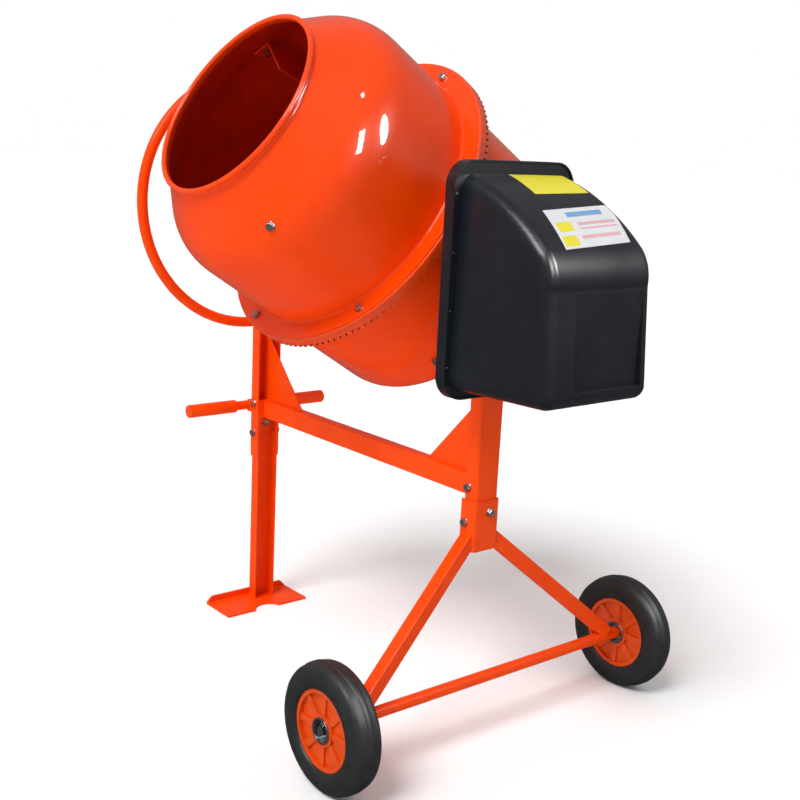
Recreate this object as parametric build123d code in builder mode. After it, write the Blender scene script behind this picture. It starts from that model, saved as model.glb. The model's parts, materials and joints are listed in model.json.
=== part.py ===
"""Tilting-drum concrete mixer, modelled as separate pieces on their real joint axes.

Axes while modelling: X along the tilt axis (motor side +X, foot side -X), the drum's
mouth towards -Y, Z up from the ground. The finished pieces are set on the centre of
the machine's footprint when they are written.
"""
import math
import os

from build123d import *

# ------------------------------------------------------------------ fits and sheet
RUNNING_FIT = 0.05      # radial play of a shaft in its bearing or bush
HOLE_PLAY = 0.3         # radial play of a bolt in its clearance hole
BELT_PLAY = 0.3         # gap between the belt and its pulleys
BUTTON_PLAY = 0.3       # gap round a push button
SHEET = 3.0             # pressed steel of the posts
DRUM_WALL = 2.5         # pressed steel of the drum

# ------------------------------------------------------------------ tilt axis and drum
TILT_HEIGHT = 893.0
DRUM_ELEVATION = 32.0   # the mouth's angle above the horizontal at rest
MOUTH_LEVEL = 372.0     # distances along the drum axis, from the tilt axis
BOTTOM_LEVEL = -229.0
FLANGE_LEVEL = 66.0
MOUTH_RADIUS = 177.0
UPPER_RADIUS = 263.0
LOWER_RADIUS = 269.0
CONE_ANGLE = 43.0
SHOULDER_BLEND = 115.0
BOWL_BLEND = 52.0
NECK_HEIGHT = 14.0
BEAD_RADIUS = 5.0
FLANGE_RADIUS = 296.0
FLANGE_BOLT_CIRCLE = 281.0
FLANGE_BOLT_COUNT = 6
FLANGE_BOLT_START = 12.0

# ------------------------------------------------------------------ ring gear and pinion
RING_TEETH = 132
RING_SEGMENTS = 4
RING_RADIUS = 302.0
RING_FACE = 12.0        # width of its teeth
RING_WEB = 8.0
SEGMENT_GAP = 0.4
TOOTH_INSET = 0.25      # a tooth's ends inside the rim's faces
PINION_TEETH = 20
PINION_FACE = 14.0
PRESSURE_ANGLE = 20.0
ADDENDUM = 3.6
DEDENDUM = 4.6
TOOTH_THINNING = 0.7    # backlash given to each gear

RING_MEAN_RADIUS = RING_RADIUS - RING_FACE / 2
TOOTH_PITCH = 2 * math.pi * RING_MEAN_RADIUS / RING_TEETH
PINION_RADIUS = TOOTH_PITCH * PINION_TEETH / (2 * math.pi)
GEAR_RATIO = RING_TEETH / PINION_TEETH

# ------------------------------------------------------------------ yoke, trunnions, spindle
YOKE_INSIDE = 308.0     # from the middle of the drum to an arm
YOKE_THICKNESS = 14.0
YOKE_WIDTH = 50.0
YOKE_GAP = 20.0         # between the bowl and the cross member
YOKE_CORNER = 50.0
YOKE_HUB_RADIUS = 34.0
LEFT_TRUNNION_RADIUS = 14.0
RIGHT_TRUNNION_RADIUS = 16.5
RIGHT_TRUNNION_BORE = 13.5
BUSH_WALL = 2.5
BEARING_TUBE_WALL = 3.0
PINION_SHAFT_RADIUS = 8.0
PINION_BEARING_WIDTH = 14.0
SPINDLE_RADIUS = 15.0
SPINDLE_FLANGE_RADIUS = 60.0
SPINDLE_FLANGE = 8.0
SPINDLE_BEARING_RADIUS = 26.0
SPINDLE_BEARING_WIDTH = 15.0
HOUSING_RADIUS = 40.0
HOUSING_FLANGE_RADIUS = 60.0
HOUSING_FLANGE = 8.0
HOUSING_LENGTH = 56.0

SPINDLE_BOLT_CIRCLE = 50.0
SPINDLE_NUT_FLATS = 36.0
SPINDLE_NUT_HEIGHT = 10.0

# ------------------------------------------------------------------ mixing blades
BLADE_THICKNESS = 4.0
BLADE_DEPTH = 60.0
BLADE_OFFSET = 16.0     # from the bolts' plane to the blade
BLADE_TAB_LENGTH = 40.0
BLADE_TAB_GAP = 3.5     # filled by a spacer at each bolt
SPACER_SEAT = 0.3       # the flat spacer stands off the curved wall's deepest point
BLADE_LOW_END = -172.0
BLADE_LOW_BOLT = -150.0
BLADE_BOLT_TURN = 35.0  # along the shoulder's round, from square to the drum axis

# ------------------------------------------------------------------ frame
LEFT_WEB = -373.0       # outer face of the left head bracket's web
LEFT_TIP = -343.0
LEFT_WIDTH = 56.0
LEFT_BRACKET_BOTTOM = 338.0
RIGHT_WEB = 363.0       # outer face of the wheel post's web
RIGHT_TIP = 326.0
RIGHT_HEAD_TIP = 331.0
RIGHT_WIDTH = 58.0
WHEEL_POST_BOTTOM = 332.0
WHEEL_POST_TOP = 425.0
POST_OVERLAP = 75.0
HEAD_MARGIN = 36.0      # from the tilt axis to the top of a head bracket
CROSSBAR_HEIGHT = 40.0
CROSSBAR_WIDTH = 25.0
CROSSBAR_BOTTOM = 427.0
CROSSBAR_WALL = 2.5
GUSSET_THICKNESS = 4.0
GUSSET_REACH = 157.0    # along the crossbar, from a head bracket's web
GUSSET_HEIGHT = 165.0
FOOT_PLATE_MIN = (-384.0, -126.0)
FOOT_PLATE_MAX = (-290.0, 80.0)
FOOT_PLATE_THICKNESS = 5.0
FOOT_LIP_HEIGHT = 18.0
FOOT_LIP_CHAMFER = 12.0
FOOT_NOTCH_CENTRE = -25.0
FOOT_NOTCH_HALF = 31.0
FOOT_NOTCH_DEPTH = 22.0
BOLT_RADIUS = 4.0
BOLT_HEAD_FLATS = 13.0
BOLT_HEAD_HEIGHT = 5.3
NUT_HEIGHT = 6.5
WASHER_RADIUS = 8.0
WASHER_THICKNESS = 1.6
THREAD_END = 2.0        # thread beyond its nut
LEFT_BOLT_LEVELS = (458.0, 392.0)
LEFT_WEB_BOLT = (8.0, 409.0)
RIGHT_BOLT_LEVELS = (447.0, 383.0)
RIGHT_WEB_BOLT = (6.0, 402.0)
RIGHT_BOLT_INSET = 12.0
PLATE_BOLT_HALF = 14.0
PLATE_BOLT_LEVELS = (661.0, 845.0)

# ------------------------------------------------------------------ handle
HANDLE_RADIUS = 10.0
HANDLE_LEVEL = 449.0
HANDLE_ENDS = (-172.0, 170.0)
SADDLE_THICKNESS = 4.0
SADDLE_LENGTH = 16.0
GRIP_RADIUS = 14.0
GRIP_LENGTH = 117.0
GRIP_CAP = 4.0

# ------------------------------------------------------------------ wheels
AXLE_X = 401.0
HALF_TRACK = 356.0
TYRE_RADIUS = 110.0
TYRE_WIDTH = 54.0
RIM_RADIUS = 68.0
RIM_WIDTH = 42.0
RIM_WEB = 28.0
RIM_SPOKES = 8
RIM_SPOKE_WIDTH = 12.0
RIM_RING = 7.0
RIM_BOSS = 27.0
RIM_BOSS_WIDTH = 40.0
AXLE_RADIUS = 8.0
AXLE_TUBE_RADIUS = 10.5
AXLE_STUB_INSET = 60.0  # length of a stub axle inside the tube
SLEEVE_RADIUS = 22.0
SLEEVE_WALL = 4.0
SLEEVE_LENGTH = 46.0
SLEEVE_CORE = 24.0      # middle stretch that runs on the axle
AXLE_WASHER_RADIUS = 14.0
AXLE_WASHER = 2.0
AXLE_SIDE_PLAY = 0.5
AXLE_END = 8.0          # axle beyond its outer washer
SPLIT_PIN_RADIUS = 1.6
STRUT_SIDE = 25.0
STRUT_WALL = 2.0
STRUT_TOP = (345.0, 350.0)      # X and Z where a strut meets its post
STRUT_FOOT = (401.0, 304.0, 120.0)

# ------------------------------------------------------------------ handwheel and tilt lock
HANDWHEEL_RADIUS = 265.0
HANDWHEEL_TUBE = 11.0
HANDWHEEL_X = -425.0
HANDWHEEL_BAR_RADIUS = 8.0
HANDWHEEL_HUB_RADIUS = 24.0
HANDWHEEL_HUB_LENGTH = 34.0
LOCK_DISC_RADIUS = 78.0
LOCK_DISC_THICKNESS = 5.0
LOCK_CIRCLE = 64.0
LOCK_PIN_RADIUS = 5.0
LOCK_TRAVEL = 13.0
LOCK_HOUSING_RADIUS = 11.0
LOCK_HOUSING_LENGTH = 14.0
TILT_RAISE = 58.0       # rest position to mouth straight up
TILT_LOWER = 77.0       # rest position to fully emptied

# ------------------------------------------------------------------ motor housing
PLATE_HALF = 138.0
PLATE_BOTTOM = 621.0
PLATE_TOP = 1015.0
PLATE_CORNER = 42.0
PLATE_DEPTH = 22.0
PLATE_WALL = 3.0
LEDGE_WIDTH = 8.0
LEDGE_DEPTH = 13.0
COVER_HALF = 127.0
COVER_FRONT = (-119.0, 124.0)   # Y of its sides at the outer face
COVER_CROWN = (-118.0, 126.0)   # Y of its sides at the top
COVER_WALL = 4.0
COVER_LIP = 3.5
COVER_EDGE = 22.0
COVER_FACE_X = 597.0
COVER_BOTTOM = 639.0
COVER_TOP = 994.0
COVER_LEAN = 13.0       # how far the outer face leans back to its upper edge
COVER_FACE_TOP = 828.0
COVER_BROW = (16.5, 862.0)      # points of the curve above, from the outer face and in Z
COVER_BEND = (32.0, 889.0)
COVER_CREST = (105.0, 945.0)
RECESS = (-58.0, 100.0, 668.0, 822.0)
RECESS_DEPTH = 8.0      # at its lower end; it runs out at its upper end
SCREW_RADIUS = 2.0
SCREW_HEAD_RADIUS = 3.4
SCREW_HEAD = 2.4

# ------------------------------------------------------------------ drive
LARGE_PULLEY_RADIUS = 76.0
MOTOR_PULLEY_RADIUS = 9.5
BELT_WIDTH = 12.0
BELT_THICKNESS = 4.0
PULLEY_WIDTH = 18.0
PULLEY_X = 397.0        # middle of both pulleys and the belt
PULLEY_RIM = 7.0
PULLEY_WEB = 6.0
PULLEY_HOLE_RADIUS = 14.0
PULLEY_HOLES = 5
MOTOR_LEVEL = 716.0
MOTOR_RADIUS = 56.0
MOTOR_LENGTH = 140.0
MOTOR_SHAFT_RADIUS = 6.0
ROTOR_RADIUS = 27.0
ROTOR_LENGTH = 70.0
ROTOR_START = 32.0      # from the motor's front face
ROTOR_GAP = 1.5         # between the rotor and the winding
MOTOR_PLATE = 5.0
MOTOR_PLATE_HALF = 66.0
STANDOFF_RADIUS = 6.0
CAPACITOR_RADIUS = 17.0
CAPACITOR_LENGTH = 78.0

# ------------------------------------------------------------------ switch and inlet
SWITCH_X = 470.0
SWITCH_LEVEL = 760.0
SWITCH_SIZE = (62.0, 92.0)      # along X and Z
SWITCH_FRONT = 136.0
SWITCH_BACK = 100.0
BUTTON_RADIUS = 11.0
BUTTON_SPACING = 40.0
BUTTON_PROUD = 6.0
BUTTON_TRAVEL = 3.0
INLET_LEVEL = 688.0
INLET_RADIUS = 24.0
INLET_BORE = 19.0
INLET_DEPTH = 30.0
INLET_PIN_RADIUS = 2.4
INLET_PIN_CIRCLE = 9.0

# ------------------------------------------------------------------ planes and axes
TILT_POINT = Vector(0, 0, TILT_HEIGHT)
SLOPE = math.radians(DRUM_ELEVATION)
DRUM_DIRECTION = Vector(0, -math.cos(SLOPE), math.sin(SLOPE))
DRUM_ACROSS = Vector(0, -math.sin(SLOPE), -math.cos(SLOPE))
DRUM_AXIS = Axis(TILT_POINT, DRUM_DIRECTION)
DRUM_PROFILE = Plane(TILT_POINT, x_dir=(1, 0, 0), z_dir=DRUM_ACROSS)


def drum_level(level):
    """Plane square to the drum axis, at a distance along it towards the mouth."""
    return Plane(TILT_POINT + DRUM_DIRECTION * level, x_dir=(1, 0, 0), z_dir=DRUM_DIRECTION)


def drum_radial(angle):
    """Plane through the drum axis: x is the radius at this angle from -X, y the axis."""
    turn = math.radians(angle)
    outward = Vector(-math.cos(turn), 0, 0) + DRUM_ACROSS * math.sin(turn)
    return Plane(TILT_POINT, x_dir=outward, z_dir=outward.cross(DRUM_DIRECTION))


def across_x(x, y=0.0, z=0.0):
    """Plane facing +X at x, with its own x along Y and its own y along Z."""
    return Plane((x, y, z), x_dir=(0, 1, 0), z_dir=(1, 0, 0))


def rod(plane, radius, length, mode=Mode.ADD):
    """Round bar standing on a plane."""
    with BuildSketch(plane) as section:
        Circle(radius)
    extrude(section.sketch, amount=length, mode=mode)


def ring(plane, outer, inner, length):
    """Tube standing on a plane."""
    with BuildSketch(plane) as section:
        Circle(outer)
        Circle(inner, mode=Mode.SUBTRACT)
    extrude(section.sketch, amount=length)


def shifted(plane, distance):
    """The same plane moved along its own normal."""
    return plane.offset(distance)


# ------------------------------------------------------------------ frame fasteners
BOLT_HOLE = BOLT_RADIUS + HOLE_PLAY
LEFT_BOLT_X = (LEFT_WEB + LEFT_TIP) / 2
RIGHT_BOLT_X = RIGHT_TIP + RIGHT_BOLT_INSET
RIGHT_HEAD_WEB = RIGHT_WEB - SHEET
RIGHT_HEAD_WIDTH = RIGHT_WIDTH - 2 * SHEET
LEFT_POST_WEB = LEFT_WEB + SHEET
LEFT_POST_WIDTH = LEFT_WIDTH - 2 * SHEET
CROSSBAR_TOP = CROSSBAR_BOTTOM + CROSSBAR_HEIGHT
HEAD_TOP = TILT_HEIGHT + HEAD_MARGIN
WEB_STACK = 2 * SHEET

# Each bolt is a plane on the face under its head, looking along the shank, and the grip.
LEFT_BOLTS = [
    (Plane((LEFT_BOLT_X, -LEFT_WIDTH / 2, LEFT_BOLT_LEVELS[0]), z_dir=(0, 1, 0)), LEFT_WIDTH),
    (Plane((LEFT_BOLT_X, -LEFT_WIDTH / 2, LEFT_BOLT_LEVELS[1]), z_dir=(0, 1, 0)), LEFT_WIDTH),
    (Plane((LEFT_WEB, *LEFT_WEB_BOLT), z_dir=(1, 0, 0)), WEB_STACK),
]
RIGHT_BOLTS = [
    (Plane((RIGHT_BOLT_X, -RIGHT_HEAD_WIDTH / 2, RIGHT_BOLT_LEVELS[0]), z_dir=(0, 1, 0)), RIGHT_HEAD_WIDTH),
    (Plane((RIGHT_BOLT_X, -RIGHT_WIDTH / 2, RIGHT_BOLT_LEVELS[1]), z_dir=(0, 1, 0)), RIGHT_WIDTH),
    (Plane((RIGHT_WEB, *RIGHT_WEB_BOLT), z_dir=(-1, 0, 0)), WEB_STACK),
]
PLATE_BOLTS = [
    (Plane((RIGHT_WEB, y, z), z_dir=(-1, 0, 0)), WEB_STACK)
    for y in (-PLATE_BOLT_HALF, PLATE_BOLT_HALF)
    for z in PLATE_BOLT_LEVELS
]


def drill(bolts):
    """Cut the clearance holes of these bolts through the part being made."""
    for plane, grip in bolts:
        rod(shifted(plane, -1), BOLT_HOLE, grip + 2, Mode.SUBTRACT)


def hexagon_bolt(plane, grip):
    """Bolt with washer and nut, its head behind the plane and its nut beyond the grip."""
    corner = BOLT_HEAD_FLATS / math.sqrt(3)
    head = shifted(plane, -WASHER_THICKNESS)
    nut = shifted(plane, grip + WASHER_THICKNESS)
    rod(head, WASHER_RADIUS, WASHER_THICKNESS)
    rod(shifted(plane, grip), WASHER_RADIUS, WASHER_THICKNESS)
    with BuildSketch(head) as head_section:
        RegularPolygon(corner, 6)
    extrude(head_section.sketch, amount=-BOLT_HEAD_HEIGHT)
    with BuildSketch(nut) as nut_section:
        RegularPolygon(corner, 6)
    extrude(nut_section.sketch, amount=NUT_HEIGHT)
    rod(plane, BOLT_RADIUS, grip + WASHER_THICKNESS + NUT_HEIGHT + THREAD_END)


def channel(web, tip, width, bottom, top):
    """Upright U channel: its web's outer face at x = web, its flanges running to x = tip."""
    depth = abs(tip - web)
    inward = math.copysign(1, tip - web)
    with BuildSketch(Plane.XY.offset(bottom)) as section:
        with Locations(((web + tip) / 2, 0)):
            Rectangle(depth, width)
        with Locations(((web + tip + inward * SHEET) / 2, 0)):
            Rectangle(depth - SHEET, width - 2 * SHEET, mode=Mode.SUBTRACT)
    extrude(section.sketch, amount=top - bottom)


def round_head(web, width, bottom):
    """Round the top of a head bracket to the width of its web."""
    with BuildSketch(across_x(web, 0, 0)) as outline:
        with Locations((0, (bottom + HEAD_TOP - width / 2) / 2)):
            Rectangle(width, HEAD_TOP - width / 2 - bottom)
        with Locations((0, HEAD_TOP - width / 2)):
            Circle(width / 2)
    extrude(outline.sketch, amount=2 * abs(web), both=True, mode=Mode.INTERSECT)


# ================================================================== ground and left post
FOOT_CENTRE = (Vector(*FOOT_PLATE_MIN) + Vector(*FOOT_PLATE_MAX)) * 0.5
FOOT_SIZE = Vector(*FOOT_PLATE_MAX) - Vector(*FOOT_PLATE_MIN)
NOTCH_RADIUS = (FOOT_NOTCH_HALF ** 2 + FOOT_NOTCH_DEPTH ** 2) / (2 * FOOT_NOTCH_DEPTH)

with BuildPart() as foot_plate:
    with BuildSketch():
        with Locations((FOOT_CENTRE.X, FOOT_CENTRE.Y)):
            Rectangle(FOOT_SIZE.X, FOOT_SIZE.Y)
        with Locations((FOOT_PLATE_MAX[0] - FOOT_NOTCH_DEPTH + NOTCH_RADIUS, FOOT_NOTCH_CENTRE)):
            Circle(NOTCH_RADIUS, mode=Mode.SUBTRACT)
    extrude(amount=FOOT_PLATE_THICKNESS)
    with BuildSketch(across_x(FOOT_PLATE_MIN[0])):
        with BuildLine():
            Polyline(
                (FOOT_PLATE_MIN[1], 0),
                (FOOT_PLATE_MAX[1], 0),
                (FOOT_PLATE_MAX[1], FOOT_LIP_HEIGHT - FOOT_LIP_CHAMFER),
                (FOOT_PLATE_MAX[1] - FOOT_LIP_CHAMFER, FOOT_LIP_HEIGHT),
                (FOOT_PLATE_MIN[1] + FOOT_LIP_CHAMFER, FOOT_LIP_HEIGHT),
                (FOOT_PLATE_MIN[1], FOOT_LIP_HEIGHT - FOOT_LIP_CHAMFER),
                close=True,
            )
        make_face()
    extrude(amount=FOOT_PLATE_THICKNESS)
foot_plate.part.label = "foot_plate"

with BuildPart() as left_post:
    channel(LEFT_POST_WEB, LEFT_TIP, LEFT_POST_WIDTH, FOOT_PLATE_THICKNESS,
            CROSSBAR_BOTTOM)
    drill(LEFT_BOLTS)
left_post.part.label = "left_post"

with BuildPart() as left_head_bracket:
    channel(LEFT_WEB, LEFT_TIP, LEFT_WIDTH, LEFT_BRACKET_BOTTOM, HEAD_TOP)
    round_head(LEFT_WEB, LEFT_WIDTH, LEFT_BRACKET_BOTTOM)
    drill(LEFT_BOLTS)
    rod(across_x(LEFT_WEB - 1, 0, TILT_HEIGHT),
        LEFT_TRUNNION_RADIUS + RUNNING_FIT + BUSH_WALL + BEARING_TUBE_WALL, SHEET + 2, Mode.SUBTRACT)
    rod(across_x(LEFT_WEB - 1, 0, TILT_HEIGHT - LOCK_CIRCLE), LOCK_HOUSING_RADIUS, SHEET + 2, Mode.SUBTRACT)
left_head_bracket.part.label = "left_head_bracket"

# ================================================================== right post
with BuildPart() as right_head_bracket:
    channel(RIGHT_HEAD_WEB, RIGHT_HEAD_TIP, RIGHT_HEAD_WIDTH, WHEEL_POST_TOP - POST_OVERLAP, HEAD_TOP)
    round_head(RIGHT_HEAD_WEB, RIGHT_HEAD_WIDTH, WHEEL_POST_TOP - POST_OVERLAP)
    drill(RIGHT_BOLTS + PLATE_BOLTS)
    rod(across_x(RIGHT_HEAD_WEB + 1, 0, TILT_HEIGHT).offset(-SHEET - 2),
        RIGHT_TRUNNION_RADIUS + RUNNING_FIT + BUSH_WALL + BEARING_TUBE_WALL, SHEET + 2, Mode.SUBTRACT)
right_head_bracket.part.label = "right_head_bracket"

with BuildPart() as wheel_post:
    channel(RIGHT_WEB, RIGHT_TIP, RIGHT_WIDTH, WHEEL_POST_BOTTOM, WHEEL_POST_TOP)
    drill(RIGHT_BOLTS)
wheel_post.part.label = "wheel_post"

# ================================================================== crossbar and gussets
CROSSBAR_ENDS = (LEFT_WEB + SHEET, RIGHT_HEAD_WEB - SHEET)
CROSSBAR_CENTRE = CROSSBAR_BOTTOM + CROSSBAR_HEIGHT / 2

with BuildPart() as crossbar:
    with BuildSketch(across_x(CROSSBAR_ENDS[0], 0, CROSSBAR_CENTRE)):
        RectangleRounded(CROSSBAR_WIDTH, CROSSBAR_HEIGHT, 1.2 * CROSSBAR_WALL)
        RectangleRounded(CROSSBAR_WIDTH - 2 * CROSSBAR_WALL, CROSSBAR_HEIGHT - 2 * CROSSBAR_WALL,
                         0.4 * CROSSBAR_WALL, mode=Mode.SUBTRACT)
    extrude(amount=CROSSBAR_ENDS[1] - CROSSBAR_ENDS[0])
    drill([LEFT_BOLTS[0], RIGHT_BOLTS[0]])
crossbar.part.label = "crossbar"


def crossbar_shoe(start, end, width):
    """Block that fills a post round the crossbar's end, so that the bolt clamps it."""
    with BuildSketch(across_x(start, 0, CROSSBAR_CENTRE)) as section:
        Rectangle(width - 2 * SHEET, CROSSBAR_HEIGHT)
        Rectangle(CROSSBAR_WIDTH, CROSSBAR_HEIGHT, mode=Mode.SUBTRACT)
    extrude(section.sketch, amount=end - start)


with BuildPart() as crossbar_shoes:
    crossbar_shoe(CROSSBAR_ENDS[0], LEFT_TIP, LEFT_WIDTH)
    crossbar_shoe(RIGHT_HEAD_TIP, CROSSBAR_ENDS[1], RIGHT_HEAD_WIDTH)
    drill([LEFT_BOLTS[0], RIGHT_BOLTS[0]])
crossbar_shoes.part.label = "crossbar_shoes"


def gusset(web, direction):
    """Triangular plate in the machine's middle plane, welded to the crossbar and a web."""
    with BuildSketch(Plane.XZ) as triangle:
        with BuildLine():
            Polyline(
                (web, CROSSBAR_TOP),
                (web + direction * GUSSET_REACH, CROSSBAR_TOP),
                (web, CROSSBAR_TOP + GUSSET_HEIGHT),
                close=True,
            )
        make_face()
    extrude(triangle.sketch, amount=GUSSET_THICKNESS / 2, both=True)


with BuildPart() as left_gusset:
    gusset(CROSSBAR_ENDS[0], 1)
left_gusset.part.label = "left_gusset"

with BuildPart() as right_gusset:
    gusset(CROSSBAR_ENDS[1], -1)
right_gusset.part.label = "right_gusset"

with BuildPart() as frame_bolts:
    for bolt_plane, bolt_grip in LEFT_BOLTS + RIGHT_BOLTS + PLATE_BOLTS:
        hexagon_bolt(bolt_plane, bolt_grip)
frame_bolts.part.label = "frame_bolts"

# ================================================================== push handle
HANDLE_X = LEFT_WEB - SADDLE_THICKNESS - HANDLE_RADIUS
HANDLE_LENGTH = HANDLE_ENDS[1] - HANDLE_ENDS[0]

with BuildPart() as handle_bar:
    rod(Plane((HANDLE_X, HANDLE_ENDS[0], HANDLE_LEVEL), z_dir=(0, 1, 0)), HANDLE_RADIUS, HANDLE_LENGTH)
handle_bar.part.label = "handle_bar"

with BuildPart() as handle_saddles:
    for side in (-1, 1):
        with Locations(((LEFT_WEB + HANDLE_X) / 2, side * (LEFT_WIDTH / 2 - SADDLE_LENGTH / 2), HANDLE_LEVEL)):
            Box(abs(HANDLE_X - LEFT_WEB), SADDLE_LENGTH, 2 * HANDLE_RADIUS + 6)
    rod(Plane((HANDLE_X, HANDLE_ENDS[0], HANDLE_LEVEL), z_dir=(0, 1, 0)), HANDLE_RADIUS, HANDLE_LENGTH,
        Mode.SUBTRACT)
handle_saddles.part.label = "handle_saddles"

with BuildPart() as handle_grips:
    for end, facing in zip(HANDLE_ENDS, (-1, 1)):
        closed_end = Plane((HANDLE_X, end + facing * GRIP_CAP, HANDLE_LEVEL), z_dir=(0, -facing, 0))
        rod(closed_end, GRIP_RADIUS, GRIP_LENGTH)
        rod(shifted(closed_end, GRIP_CAP), HANDLE_RADIUS, GRIP_LENGTH, Mode.SUBTRACT)
    fillet(handle_grips.edges().filter_by(GeomType.CIRCLE).filter_by(lambda e: e.radius > HANDLE_RADIUS + 1), 2)
handle_grips.part.label = "handle_grips"

# ================================================================== wheels and axle
TUBE_END = HALF_TRACK - SLEEVE_CORE / 2 - 2 * AXLE_SIDE_PLAY - AXLE_WASHER


def wheel_centre(side):
    """Plane at a wheel's centre: its own y points outwards along the axle."""
    return Plane((AXLE_X, side * HALF_TRACK, TYRE_RADIUS), x_dir=(1, 0, 0), z_dir=(0, 0, side))


def axle_axis():
    """Axis of the wheels."""
    return Axis((AXLE_X, 0, TYRE_RADIUS), (0, 1, 0))


def wheel_face(side, distance):
    """Plane square to the axle, at a distance outwards from the wheel's middle."""
    return Plane((AXLE_X, side * (HALF_TRACK + distance), TYRE_RADIUS), x_dir=(1, 0, 0), z_dir=(0, side, 0))


def make_tyre(side):
    """Solid rubber tyre with round shoulders and a raised centre rib."""
    half = TYRE_WIDTH / 2
    with BuildPart() as tyre:
        with BuildSketch(wheel_centre(side)):
            with BuildLine():
                Line((RIM_RADIUS, -half + 5), (RIM_RADIUS, half - 5))
                Line((RIM_RADIUS, half - 5), (RIM_RADIUS + 3, half - 2))
                ThreePointArc((RIM_RADIUS + 3, half - 2), (RIM_RADIUS + 17, half), (TYRE_RADIUS - 12, half - 3))
                ThreePointArc((TYRE_RADIUS - 12, half - 3), (TYRE_RADIUS - 5, half - 7),
                              (TYRE_RADIUS - 2, half - 14))
                Line((TYRE_RADIUS - 2, half - 14), (TYRE_RADIUS - 1.5, 6))
                Line((TYRE_RADIUS - 1.5, 6), (TYRE_RADIUS, 5))
                mirror(about=Plane.XZ)
                Line((TYRE_RADIUS, 5), (TYRE_RADIUS, -5))
            make_face()
        revolve(axis=axle_axis())
    return tyre.part


def make_rim(side):
    """Pressed rim: outer ring, web, hub boss and radial ribs with pockets between them."""
    with BuildPart() as rim:
        ring(wheel_face(side, -RIM_WIDTH / 2), RIM_RADIUS, RIM_RADIUS - RIM_RING, RIM_WIDTH)
        ring(wheel_face(side, -RIM_WEB / 2), RIM_RADIUS - 1, SLEEVE_RADIUS, RIM_WEB)
        ring(wheel_face(side, -RIM_BOSS_WIDTH / 2), RIM_BOSS, SLEEVE_RADIUS, RIM_BOSS_WIDTH)
        with BuildSketch(wheel_face(side, -RIM_BOSS_WIDTH / 2 + 2)):
            with PolarLocations((RIM_BOSS + RIM_RADIUS - RIM_RING) / 2, RIM_SPOKES):
                Rectangle(RIM_RADIUS - RIM_RING - RIM_BOSS + 4, RIM_SPOKE_WIDTH)
        extrude(amount=RIM_BOSS_WIDTH - 4)
    return rim.part


def make_sleeve(side):
    """Steel hub sleeve: a bored core with a recess at each end."""
    with BuildPart() as sleeve:
        rod(wheel_face(side, -SLEEVE_LENGTH / 2), SLEEVE_RADIUS, SLEEVE_LENGTH)
        rod(wheel_face(side, SLEEVE_CORE / 2), SLEEVE_RADIUS - SLEEVE_WALL, SLEEVE_LENGTH, Mode.SUBTRACT)
        rod(wheel_face(side, -SLEEVE_CORE / 2 - SLEEVE_LENGTH), SLEEVE_RADIUS - SLEEVE_WALL, SLEEVE_LENGTH,
            Mode.SUBTRACT)
        rod(wheel_face(side, -SLEEVE_LENGTH), AXLE_RADIUS + RUNNING_FIT, 2 * SLEEVE_LENGTH, Mode.SUBTRACT)
    return sleeve.part


WHEEL_PIECES = []
for side_name, side in (("near", -1), ("far", 1)):
    for piece_name, make in (("tyre", make_tyre), ("rim", make_rim), ("hub_sleeve", make_sleeve)):
        piece = make(side)
        piece.label = f"{piece_name}_{side_name}"
        WHEEL_PIECES.append(piece)

with BuildPart() as axle_tube:
    ring(wheel_face(-1, TUBE_END - HALF_TRACK), AXLE_TUBE_RADIUS, AXLE_RADIUS, -2 * TUBE_END)
axle_tube.part.label = "axle_tube"

WASHER_START = SLEEVE_CORE / 2 + AXLE_SIDE_PLAY
AXLE_TIP = WASHER_START + AXLE_WASHER + AXLE_END
PIN_PLACE = WASHER_START + AXLE_WASHER + SPLIT_PIN_RADIUS + 0.6

with BuildPart() as stub_axles:
    for side in (-1, 1):
        rod(wheel_face(side, TUBE_END - HALF_TRACK - AXLE_STUB_INSET), AXLE_RADIUS,
            AXLE_STUB_INSET + HALF_TRACK - TUBE_END + AXLE_TIP)
        pin_plane = Plane((AXLE_X, side * (HALF_TRACK + PIN_PLACE), TYRE_RADIUS), z_dir=(0, 0, 1))
        with BuildSketch(pin_plane):
            Circle(SPLIT_PIN_RADIUS)
        extrude(amount=2 * AXLE_RADIUS, both=True, mode=Mode.SUBTRACT)
stub_axles.part.label = "stub_axles"

with BuildPart() as axle_washers:
    for side in (-1, 1):
        for start in (WASHER_START, -WASHER_START - AXLE_WASHER):
            ring(wheel_face(side, start), AXLE_WASHER_RADIUS, AXLE_RADIUS, AXLE_WASHER)
axle_washers.part.label = "axle_washers"

with BuildPart() as split_pins:
    for side in (-1, 1):
        with BuildSketch(Plane((AXLE_X, side * (HALF_TRACK + PIN_PLACE), TYRE_RADIUS), z_dir=(0, 0, 1))):
            Circle(SPLIT_PIN_RADIUS)
        extrude(amount=AXLE_RADIUS + 6, both=True)
split_pins.part.label = "split_pins"


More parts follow.
